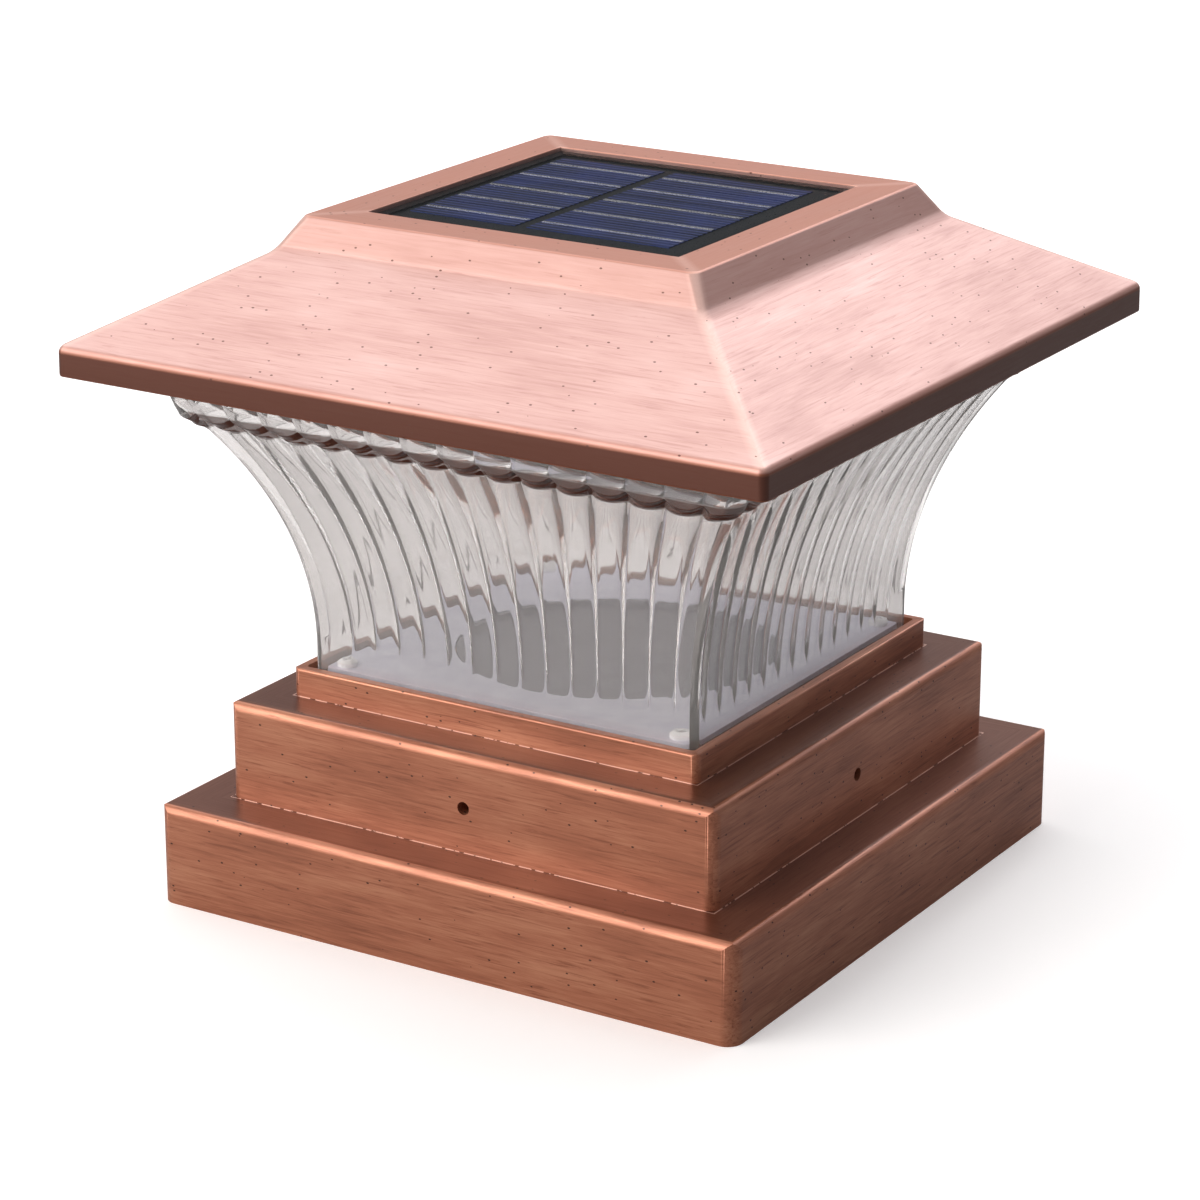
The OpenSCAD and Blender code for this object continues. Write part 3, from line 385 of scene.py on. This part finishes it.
def grained(name, dark, light, grain_mm, depth_mm, roughness, metallic=0.0, gloss=0.5):
    """A surface whose colour wavers between two tones over a bumpy grain."""
    made, tree, shader, place = material(name)
    grain = add(tree, "TexNoise", {"Vector": place, "Scale": per_mm(grain_mm),
                                   "Detail": 3.0})["Fac"]
    blotch = add(tree, "TexNoise", {"Vector": place, "Scale": per_mm(grain_mm * BLOTCH_PER_GRAIN),
                                    "Detail": 2.0})["Fac"]
    tone = add(tree, "Mix", {"Factor": 0.5, "A": grain, "B": blotch})[0]
    colour = add(tree, "ValToRGB", {"Fac": tone}, stops=[(0.35, dark), (0.65, light)])["Color"]
    rough = add(tree, "MapRange", {"Value": grain, "To Min": max(roughness - ROUGHNESS_SWING, 0.02),
                                   "To Max": min(roughness + ROUGHNESS_SWING, 1.0)})[0]
    normal = add(tree, "Bump", {"Height": grain, "Distance": depth_mm * MM, "Strength": 0.5})[0]
    feed(tree, shader, {"Base Color": colour, "Roughness": rough, "Normal": normal,
                        "Metallic": metallic, "Specular IOR Level": gloss})
    return made


# Zinc plating on steel: a cold grey shine, and a whiter one on the screws in the floor
zinc = grained("zinc_plated_steel", "#9FA3A8", "#D5D8DC", 0.5, 0.02, 0.3, metallic=1.0)
bright_zinc = grained("bright_zinc_screws", "#DADCE2", "#F2F3F6", 0.5, 0.02, 0.35, metallic=0.2)
# Bright coating on the stamped floor, which throws the light back up: a pale lilac grey
floor_metal = grained("bright_floor_plate", "#C2C4D8", "#D9DBEC", 0.45, 0.03, 0.4, metallic=0.25)
# Satin plastic of the dish, grey, painted darker as the shade of the head above it, behind the
# reeds
dish_plastic_painted_shade = grained("grey_plastic_painted_shade", "#6C6C78", "#7C7C88", 0.5, 0.02, 0.5)
# Moulded ABS of the tray and the battery cover, warm and pale
pale_abs = grained("pale_moulded_abs", "#C6C2BB", "#D8D4CD", 0.4, 0.03, 0.5)
# Closed-cell foam, dull and mottled
foam = grained("closed_cell_foam", "#5A5A5C", "#6C6C6E", 0.8, 0.15, 0.9)
# What lies under the pane has no gloss of its own: black rubber and a black laminate
border_rubber = grained("panel_border_rubber", "#08090A", "#111315", 0.5, 0.01, 0.3, gloss=0.1)
laminate = grained("panel_backing_laminate", "#0A0D0C", "#12181A", 0.5, 0.01, 0.3, gloss=0.1)
# Green resin of a circuit board over its weave, and the dull black epoxy of its chips
board_resin = grained("green_board_resin", "#124A2B", "#1D6A3F", 0.6, 0.01, 0.4)
chip_epoxy = grained("black_chip_epoxy", "#1A1B1D", "#303236", 0.3, 0.01, 0.55)
# Phosphor of the light sources, a chalky yellow, under frosted polycarbonate, a milky white
phosphor = grained("led_phosphor", "#E9DE8E", "#F6F0B8", 0.4, 0.01, 0.4)
frosted = grained("frosted_cover_plastic", "#E6E6E2", "#F6F6F3", 0.6, 0.02, 0.45)
# Tinned strip and bright brass, the metals that carry the current
tin = grained("tinned_metal", "#B9BBBE", "#E2E4E7", 0.4, 0.01, 0.28, metallic=1.0)
brass = grained("bright_brass", "#B08D4A", "#D8BC78", 0.4, 0.01, 0.25, metallic=1.0)
# Shrunk film round the cell, a smooth green, and the red insulation of the leads
battery_sleeve = grained("battery_sleeve", "#1F5A3E", "#2B7350", 0.9, 0.01, 0.35)
insulation = grained("lead_insulation", "#8E1B16", "#B42A22", 0.6, 0.01, 0.4)
print("materials so far:", len(bpy.data.materials))

# %% [markdown]
# A solar cell is a wafer of silicon under a dark blue coating, printed with silver: fine fingers
# about 1.5 mm apart, and one wide busbar, which here is a piece of its own. In the photograph the
# fingers run beside the busbar, so a stripe on Object y draws them. Real fingers are too fine to
# show at this distance, so they are drawn 2.1 mm apart and 0.7 mm wide.

# %% Solar cells
FINGER_PITCH_MM = 2.1
FINGER_WIDTH_MM = 0.7
FINGER_SHINE = 0.3
SHEEN_MM = 16.0


def printed_silicon():
    made, tree, shader, place = material("coated_silicon_cells")
    y = add(tree, "SeparateXYZ", {"Vector": place})["Y"]
    step = add(tree, "Math", {0: y, 1: per_mm(FINGER_PITCH_MM)}, operation="MULTIPLY")[0]
    within = add(tree, "Math", {0: step}, operation="FRACT")[0]
    share = FINGER_WIDTH_MM / FINGER_PITCH_MM
    finger = add(tree, "Math", {0: within, 1: share}, operation="LESS_THAN")[0]
    sheen = add(tree, "TexNoise", {"Vector": place, "Scale": per_mm(SHEEN_MM),
                                   "Detail": 2.0})["Fac"]
    blues = [(0.3, "#0B1230"), (0.5, "#111C46"), (0.7, "#1A2A68")]
    blue = add(tree, "ValToRGB", {"Fac": sheen}, stops=blues)["Color"]
    inputs = {"Factor": finger, 6: blue, 7: linear("#44538F")}
    colour = add(tree, "Mix", inputs, data_type="RGBA")[2]
    metal = add(tree, "Math", {0: finger, 1: FINGER_SHINE}, operation="MULTIPLY")[0]
    feed(tree, shader, {"Base Color": colour, "Metallic": metal, "Roughness": 0.35,
                        "Specular IOR Level": 0.1})
    return made


silicon = printed_silicon()
print("fingers every", FINGER_PITCH_MM, "mm")

# %% [markdown]
# Now the pieces that the frame already has get their finishes. The imported meshes are loose
# triangles, so a Weld joins them and an Edge Split keeps the real edges sharp while rounds shade
# smoothly. Weighted normals then let the large flat faces win over the thin triangles beside
# them. All three are modifiers, and the mesh below them stays as it was imported.

# %% Finishes for the imported pieces
WELD_MM = 0.002
SHARP_FROM_DEG = 28
FINISHES = {
    tier_copper: ["lower_tier", "middle_tier", "upper_collar"],
    zinc: ["tier_screws", "tray_screws", "board_screws", "door_screw"],
    bright_zinc: ["floor_screws"],
    floor_metal: ["floor_plate"],
    dish_plastic_painted_shade: ["floor_dish"],
    foam: ["rim_seal", "tray_seal"],
    pale_abs: ["head_tray", "battery_door"],
    laminate: ["panel_board"],
    border_rubber: ["panel_border"],
    silicon: ["solar_cells"],
    tin: ["cell_busbars", "switch_body", "battery_spring"],
    panel_pane: ["panel_glass"],
    board_resin: ["circuit_board"],
    chip_epoxy: ["board_parts", "switch_knob"],
    phosphor: ["led_chips"],
    frosted: ["light_cover"],
    battery_sleeve: ["battery"],
    brass: ["battery_contact"],
    insulation: ["panel_leads", "battery_leads"],
}


def even_shading(obj):
    """Lets the large flat faces set the normals of the vertices that they share."""
    even = obj.modifiers.new("even shading", "WEIGHTED_NORMAL")
    even.keep_sharp = True


def dress(node, finish):
    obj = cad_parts[node]
    obj.data.materials.clear()
    obj.data.materials.append(finish)
    obj.data.polygons.foreach_set("use_smooth", [True] * len(obj.data.polygons))
    weld = obj.modifiers.new("joined", "WELD")
    weld.merge_threshold = WELD_MM * MM
    split = obj.modifiers.new("edges", "EDGE_SPLIT")
    split.split_angle = radians(SHARP_FROM_DEG)
    even_shading(obj)


for finish, names in FINISHES.items():
    for node in names:
        dress(node, finish)
print("dressed:", sum(len(names) for names in FINISHES.values()), "packed pieces")

# %% [markdown]
# Three helpers for new pieces. One turns a bmesh into an object with a finish that stands for a
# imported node. The other two start a square loop and pull the next one out of the last, which is
# how a mitred square form such as the roof is raised from its outline.

# %% Helpers for pieces
MERGE_MM = 0.001
SAME = 1e-6


def finish_piece(bm, name, finish, body, node, sharp_from):
    """An object from the bmesh; edges that turn by more than sharp_from degrees stay sharp."""
    bmesh.ops.remove_doubles(bm, verts=bm.verts, dist=MERGE_MM * MM)
    bmesh.ops.recalc_face_normals(bm, faces=bm.faces)
    for edge in bm.edges:
        edge.smooth = edge.calc_face_angle(0) < radians(sharp_from)
    mesh = bpy.data.meshes.new(name)
    bm.to_mesh(mesh)
    bm.free()
    mesh.polygons.foreach_set("use_smooth", [True] * len(mesh.polygons))
    mesh.materials.append(finish)
    obj = bpy.data.objects.new(name, mesh)
    bpy.context.scene.collection.objects.link(obj)
    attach(obj, body)
    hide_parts(node)
    print(name + ":", len(mesh.polygons), "faces")
    return obj


def first_loop(bm, half, z):
    """The four edges of a square of that half width at height z."""
    made = bmesh.ops.create_grid(bm, x_segments=1, y_segments=1, size=half)
    bmesh.ops.translate(bm, verts=made["verts"], vec=(0, 0, z))
    edges = list(bm.edges)
    bmesh.ops.delete(bm, geom=list(bm.faces), context="FACES_ONLY")
    return edges


def next_loop(bm, edges, half, z):
    """Extrudes the loop and brings the new one to that half width and height."""
    made = bmesh.ops.extrude_edge_only(bm, edges=edges)["geom"]
    for v in (e for e in made if isinstance(e, bmesh.types.BMVert)):
        v.co = (half if v.co.x > 0 else -half, half if v.co.y > 0 else -half, z)
    return [e for e in made if isinstance(e, bmesh.types.BMEdge)
            and all(abs(v.co.z - z) < SAME and abs(abs(v.co.x) - half) < SAME for v in e.verts)]


# %% [markdown]
# The roof is one casting: an upright band round the eaves, four straight slopes, a hollow neck, a
# steep riser and a flat top with the square recess for the panel. Its section is drawn once, out
# over the skin, down to the shelf that carries the panel, and back along the inside, and each
# corner of it becomes a square loop. Bevels then do what the casting's radii do: they catch the
# light along the edges, which is what makes the form read. The hips come first, because the loops
# that cross them then get round corners. After that the corners of a loop no longer lie exactly
# at its height, so a loop's edges are found within a millimetre.

# %% The roof
roof_low, roof_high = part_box("roof_shell")
EAVE_HALF = roof_high.x
TOP_Z = roof_high.z
EAVE_Z = roof_low.z
EAVE_TOP_Z = EAVE_Z + 7 * MM
NECK_HALF = 57.2 * MM
NECK_Z = TOP_Z - 8 * MM
TOP_HALF = 52 * MM
RECESS_HALF = 41.3 * MM
WALL = 2 * MM
SHELF_HALF = RECESS_HALF - 4 * MM
SHELF_Z = TOP_Z - 3 * MM
TUB_Z = SHELF_Z - 1.5 * MM
TUB_HALF = RECESS_HALF + 1.8 * MM

ROOF_SECTION = [
    (EAVE_HALF - WALL, EAVE_Z),
    (EAVE_HALF, EAVE_Z),
    (EAVE_HALF, EAVE_TOP_Z),
    (NECK_HALF, NECK_Z),
    (TOP_HALF, TOP_Z),
    (RECESS_HALF, TOP_Z),
    (RECESS_HALF, SHELF_Z),
    (SHELF_HALF, SHELF_Z),
    (SHELF_HALF, TUB_Z),
    (TUB_HALF, TUB_Z),
    (TUB_HALF, TOP_Z - WALL),
    (TOP_HALF - 1.1 * MM, TOP_Z - WALL),
    (NECK_HALF - 1.5 * MM, NECK_Z - 1.3 * MM),
    (EAVE_HALF - WALL, EAVE_TOP_Z - 1.1 * MM),
]

# Each rounded loop: half width, height, radius in mm, segments
ROUNDED_LOOPS = [
    (NECK_HALF, NECK_Z, 1.9, 8),
    (TOP_HALF, TOP_Z, 0.55, 4),
    (EAVE_HALF, EAVE_TOP_Z, 1.3, 5),
    (EAVE_HALF, EAVE_Z, 0.5, 3),
    (RECESS_HALF, TOP_Z, 0.25, 3),
]
NEAR_LOOP = 1 * MM
NEAR_LEVEL = 0.5 * MM
LEAST_TURN = 0.1
HIP_RADIUS_MM = 1.8
HIP_SEGMENTS = 5
ROOF_SHARP_DEG = 40


def hip_edges(bm):
    """The slanting and upright edges along the four corners of the outside."""
    corners = [(half, z) for half, z, radius, segments in ROUNDED_LOOPS[:4]]

    def on_hip(v):
        return any(abs(abs(v.co.x) - half) < SAME and abs(abs(v.co.y) - half) < SAME
                   and abs(v.co.z - z) < SAME for half, z in corners)
    return [e for e in bm.edges if on_hip(e.verts[0]) and on_hip(e.verts[1])
            and abs(e.verts[0].co.z - e.verts[1].co.z) > SAME]


def loop_edges(bm, half, z):
    """The edges of the loop near that half width and height, with its rounded corners."""
    def on(v):
        reach = max(abs(v.co.x), abs(v.co.y))
        return abs(reach - half) < NEAR_LOOP and abs(v.co.z - z) < NEAR_LEVEL
    return [e for e in bm.edges if on(e.verts[0]) and on(e.verts[1])
            and e.calc_face_angle(0) > LEAST_TURN]


def round_edges(bm, edges, radius_mm, segments):
    print("rounded:", len(edges), "edges by", radius_mm, "mm")
    bmesh.ops.bevel(bm, geom=edges, offset=radius_mm * MM, offset_type="OFFSET", affect="EDGES",
                    segments=segments, profile=0.5, material=-1, clamp_overlap=False)


def make_roof():
    bm = bmesh.new()
    start = first_loop(bm, *ROOF_SECTION[0])
    edges = start
    for half, z in ROOF_SECTION[1:]:
        edges = next_loop(bm, edges, half, z)
    bmesh.ops.bridge_loops(bm, edges=edges + start)
    bmesh.ops.recalc_face_normals(bm, faces=bm.faces)
    round_edges(bm, hip_edges(bm), HIP_RADIUS_MM, HIP_SEGMENTS)
    for half, z, radius, segments in ROUNDED_LOOPS:
        round_edges(bm, loop_edges(bm, half, z), radius, segments)
    return finish_piece(bm, "roof_casting", roof_copper_painted_sheen, "solar_head",
                        "roof_shell", ROOF_SHARP_DEG)


roof = make_roof()
even_shading(roof)

# %% [markdown]
# The lens takes the most skill. Each face carries fourteen reeds, convex outside and smooth
# inside, that fan out as the face flares. A reed is a bulge between two grooves: near the foot it
# is flat with narrow grooves that fade to a point, and higher up it swells, so that it ends in a
# scallop where the plain band under the roof cuts across it. Every face starts as a grid, with
# columns across the reeds and rows up the wall, and each vertex is then moved to its place on the
# flare. The smooth inside is a second grid, and bridges close the wall at foot and head.

# %% The lens form
lens_low, lens_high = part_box("lens_shade")
FOOT_Z = lens_low.z / MM
HEAD_Z = lens_high.z / MM
FOOT_HALF = 52.3
FLARE_Z = FOOT_Z + 8
FLARE_R = 95.0
BAND_Z = HEAD_Z - 9
LEDGE_Z = BAND_Z - 2
LEDGE_OUT = 2.0
BAND_SLOPE = radians(70)
LENS_WALL = 2.2
TOE_HALF = FOOT_HALF - LENS_WALL - 1.2
TOE_TOP = FOOT_Z + 1.5
REEDS = 14
REED_DEPTH = 1.5
REED_SHARE = 0.904
REED_STEPS = 12
REED_FLAT = 9.0
REED_ROUND = 2.3
ROUNDING_Z = 92.0
ROUNDING_RISE = 26.0
GROOVE_LOW_SHARE = 0.5
GROOVE_OPENS = 6.0
GROOVE_DEEPENS = 45.0
CORNER_STEPS = 10
CORNER_ROUND = 0.72
SCALLOP_SAG = 1.6
LENS_SHARP_DEG = 75
FLARE_TOP_HALF = FOOT_HALF + FLARE_R - sqrt(FLARE_R ** 2 - (LEDGE_Z - FLARE_Z) ** 2)
BAND_HALF = FLARE_TOP_HALF + LEDGE_OUT


def rise(z, start, length):
    """0 below the start, 1 above start + length, and a soft step between."""
    t = min(1.0, max(0.0, (z - start) / length))
    return t * t * (3 - 2 * t)


def lens_half(z):
    """Half width of the outside at height z, in millimetres."""
    if z <= FLARE_Z:
        return FOOT_HALF
    if z <= LEDGE_Z:
        return FOOT_HALF + FLARE_R - sqrt(FLARE_R ** 2 - (z - FLARE_Z) ** 2)
    if z <= BAND_Z:
        return FLARE_TOP_HALF + LEDGE_OUT * rise(z, LEDGE_Z, BAND_Z - LEDGE_Z)
    return BAND_HALF + (z - BAND_Z) / tan(BAND_SLOPE)


def inside_half(z):
    """Half width of the smooth inside at height z, a wall's thickness in."""
    if z <= FLARE_Z:
        return FOOT_HALF - LENS_WALL
    if z <= LEDGE_Z:
        return FOOT_HALF + FLARE_R - sqrt((FLARE_R + LENS_WALL) ** 2 - (z - FLARE_Z) ** 2)
    return lens_half(z) - LENS_WALL / sin(BAND_SLOPE)


print("lens half width at the ledge:", round(FLARE_TOP_HALF, 1), "mm")
print("lens half width at the head:", round(lens_half(HEAD_Z), 1), "mm")

# %% Outside of the lens
FLARE_ROWS = 44
# Heights of the rows, close together where the form turns
OUTSIDE_ROWS = ([FOOT_Z, FOOT_Z + 4, FLARE_Z - 1.4]
                + [FLARE_Z - 1 + (LEDGE_Z - 0.4 - FLARE_Z + 1) * (i / FLARE_ROWS) ** 1.15
                   for i in range(1, FLARE_ROWS)]
                + [LEDGE_Z - 0.4, LEDGE_Z - 0.1, LEDGE_Z + 0.15, LEDGE_Z + 0.5, LEDGE_Z + 1.0,
                   BAND_Z - 0.5, BAND_Z - 0.15, BAND_Z + 0.1, BAND_Z + 0.6, BAND_Z + 2, BAND_Z + 4,
                   HEAD_Z - 3, HEAD_Z - 1, HEAD_Z])
COLUMNS = REEDS * REED_STEPS + CORNER_STEPS


def reed_depth(z):
    """How deep the grooves lie at height z: nothing in the foot and in the plain band."""
    deepened = GROOVE_LOW_SHARE + (1 - GROOVE_LOW_SHARE) * rise(z, FLARE_Z + 4, GROOVE_DEEPENS)
    fading = 1 - rise(z, LEDGE_Z, BAND_Z - LEDGE_Z)
    return REED_DEPTH * rise(z, FLARE_Z - 1, GROOVE_OPENS) * deepened * fading


def reed_bulge(u, z):
    """From 0 in a groove to 1 on a reed: flat reeds with narrow grooves low, round ones high."""
    power = REED_FLAT + (REED_ROUND - REED_FLAT) * rise(z, ROUNDING_Z, ROUNDING_RISE)
    return 1 - abs(2 * u - 1) ** power


def scallop(z):
    """How far a reed hangs at height z; the hem is at the ledge."""
    return SCALLOP_SAG * rise(z, LEDGE_Z - 3, 3.0) * (1 - rise(z, HEAD_Z - 7, 6.0))


def outside_point(column, z):
    """Where a vertex of the outside stands: across fourteen reeds, then round the corner."""
    half = lens_half(z)
    edge = REED_SHARE * half
    depth = reed_depth(z)
    if column <= REEDS * REED_STEPS:
        reed, step = divmod(column, REED_STEPS)
        u = 0.5 + 0.5 * sin(radians(90) * (2 * step / REED_STEPS - 1))
        bulge = reed_bulge(u, z) if step else 0.0
        x = -edge + 2 * edge * (reed + (u if step else 0.0)) / REEDS
        return Vector((x, -(half - depth + depth * bulge), z - scallop(z) * bulge)) * MM
    r = (half - edge) * CORNER_ROUND
    a = radians(-90 + 90 * (column - REEDS * REED_STEPS - 1) / (CORNER_STEPS - 2))
    return Vector((half - r + r * cos(a), -(half - r) + r * sin(a), z - scallop(z))) * MM


def shape_grid(bm, columns, rows, place):
    """A grid over one face and a corner, whose vertices are moved to place(column, row)."""
    made = bmesh.ops.create_grid(bm, x_segments=columns, y_segments=rows, size=1.0)["verts"]
    for v in made:
        column = round((v.co.x + 1) / 2 * columns)
        row = round((v.co.y + 1) / 2 * rows)
        v.co = place(column, row)
    return made


def four_faces(bm, made):
    """The same face turned to the other three sides."""
    faces = list({f for v in made for f in v.link_faces})
    for quarter in (1, 2, 3):
        edges = list({e for f in faces for e in f.edges})
        copy = bmesh.ops.duplicate(bm, geom=faces + edges + made)
        verts = [g for g in copy["geom"] if isinstance(g, bmesh.types.BMVert)]
        bmesh.ops.rotate(bm, verts=verts, matrix=Matrix.Rotation(quarter * pi / 2, 3, "Z"))


print("outside of one face:", COLUMNS, "x", len(OUTSIDE_ROWS) - 1, "cells")

# %% Inside of the lens and the whole piece
INSIDE_ROWS = 24
INSIDE_SECTION = ([(TOE_HALF, FOOT_Z), (TOE_HALF, TOE_TOP), (FOOT_HALF - LENS_WALL, TOE_TOP)]
                  + [(inside_half(z), z) for z in
                     [FLARE_Z + (LEDGE_Z - FLARE_Z) * i / INSIDE_ROWS
                      for i in range(INSIDE_ROWS + 1)]]
                  + [(inside_half(BAND_Z + 1.5), BAND_Z + 1.5), (inside_half(HEAD_Z), HEAD_Z)])


def outside_cell(column, row):
    # The last column of a face is the first of the next, one groove round the corner
    if column == COLUMNS:
        return Matrix.Rotation(pi / 2, 3, "Z") @ outside_point(0, OUTSIDE_ROWS[row])
    return outside_point(column, OUTSIDE_ROWS[row])


def inside_cell(column, row):
    half, z = INSIDE_SECTION[row]
    across = min(1.0, column / (REEDS * REED_STEPS))
    return Vector((-half + 2 * half * across, -half, z)) * MM


def rim_loop(bm, verts, z):
    """Boundary edges at height z among those vertices."""
    return [e for e in bm.edges if e.is_boundary and e.verts[0] in verts and e.verts[1] in verts
            and all(abs(v.co.z - z * MM) < SAME for v in e.verts)]


def make_lens():
    bm = bmesh.new()
    four_faces(bm, shape_grid(bm, COLUMNS, len(OUTSIDE_ROWS) - 1, outside_cell))
    bmesh.ops.remove_doubles(bm, verts=bm.verts, dist=MERGE_MM * MM)
    outer = set(bm.verts)
    four_faces(bm, shape_grid(bm, REEDS * REED_STEPS, len(INSIDE_SECTION) - 1, inside_cell))
    inner = [v for v in bm.verts if v not in outer]
    bmesh.ops.remove_doubles(bm, verts=inner, dist=MERGE_MM * MM)
    inner = {v for v in bm.verts if v not in outer}
    bmesh.ops.reverse_faces(bm, faces=[f for f in bm.faces if f.verts[0] in inner])
    for z in (FOOT_Z, HEAD_Z):
        bmesh.ops.bridge_loops(bm, edges=rim_loop(bm, outer, z) + rim_loop(bm, inner, z))
    return finish_piece(bm, "reeded_lens", lens_plastic, "base", "lens_shade",
                        LENS_SHARP_DEG)


make_lens()

# %% [markdown]
# The studio is plain: white paper, a wide soft lamp overhead that washes the roof, a smaller one
# in front on the left for the faces of the base, and a weak one behind that draws the shadow
# forward. What faces right gets only the dim surround, as in the photograph, so metal sees that
# surround too. The camera, and rays that have passed the clear lens, see the surround at white
# and the paper lifted by a little light of its own. The lift is small round the light, where the
# shadow has to stay, and grows to full white further out. For all other rays the paper is grey,
# or its bounce would fill the faces that the photograph has dark.

# %% The studio
SURROUND = 0.25
PAPER_LIFT = 0.25
SHADOW_REACH = 0.6
PAPER_FADE = 1.6
PAPER_HALF = 6.0
LAMPS_AIM = Vector((0, 0, 0.1))


def white_for_camera(tree):
    """1 for camera rays and for rays that come through the clear lens."""
    path = add(tree, "LightPath")
    inputs = {0: path["Is Camera Ray"], 1: path["Is Transmission Ray"]}
    return add(tree, "Math", inputs, operation="MAXIMUM")[0]


def add_floor():
    bm = bmesh.new()
    bmesh.ops.create_grid(bm, x_segments=4, y_segments=4, size=PAPER_HALF)
    mesh = bpy.data.meshes.new("studio_floor")
    bm.to_mesh(mesh)
    bm.free()
    made, tree, shader, place = material("white_studio_paper")
    seen = white_for_camera(tree)
    inputs = {"Factor": seen, 6: linear("#9C9C9C"), 7: linear("#F4F4F4")}
    paper = add(tree, "Mix", inputs, data_type="RGBA")[2]
    away = add(tree, "VectorMath", {"Vector": place}, operation="LENGTH")["Value"]
    lift = add(tree, "MapRange", {"Value": away, "From Min": SHADOW_REACH, "From Max": PAPER_FADE,
                                  "To Min": PAPER_LIFT, "To Max": 1.0})[0]
    glow = add(tree, "Math", {0: seen, 1: lift}, operation="MULTIPLY")[0]
    feed(tree, shader, {"Base Color": paper, "Roughness": 0.9, "Specular IOR Level": 0.1,
                        "Emission Color": linear("#FFFFFF"), "Emission Strength": glow})
    mesh.materials.append(made)
    floor = bpy.data.objects.new("studio_floor", mesh)
    bpy.context.scene.collection.objects.link(floor)


def add_world():
    world = bpy.data.worlds.new("studio")
    bpy.context.scene.world = world
    world.use_nodes = True
    tree = world.node_tree
    tree.nodes.clear()
    dim = add(tree, "Background", {"Color": linear("#F4F6FA"), "Strength": SURROUND})[0]
    white = add(tree, "Background", {"Color": linear("#FFFFFF"), "Strength": 1.0})[0]
    both = add(tree, "MixShader", {0: white_for_camera(tree), 1: dim, 2: white})[0]
    add(tree, "OutputWorld", {"Surface": both})


def add_lamp(name, at, watts, size, colour):
    data = bpy.data.lights.new(name, "AREA")
    data.shape = "SQUARE"
    data.size = size
    data.energy = watts
    data.color = linear(colour)[:3]
    lamp = bpy.data.objects.new(name, data)
    bpy.context.scene.collection.objects.link(lamp)
    lamp.location = at
    lamp.rotation_mode = "QUATERNION"
    lamp.rotation_quaternion = (LAMPS_AIM - Vector(at)).to_track_quat("-Z", "Y")


add_floor()
add_world()
add_lamp("overhead_lamp", (-0.4, 0.5, 1.7), 33, 2.6, "#FFFCFC")
add_lamp("front_left_lamp", (-0.75, -1.35, 0.7), 29, 1.4, "#FFF9F4")
add_lamp("back_lamp", (0.1, 1.6, 1.25), 8, 1.2, "#FFF8FA")
bpy.context.scene.view_settings.view_transform = "Standard"
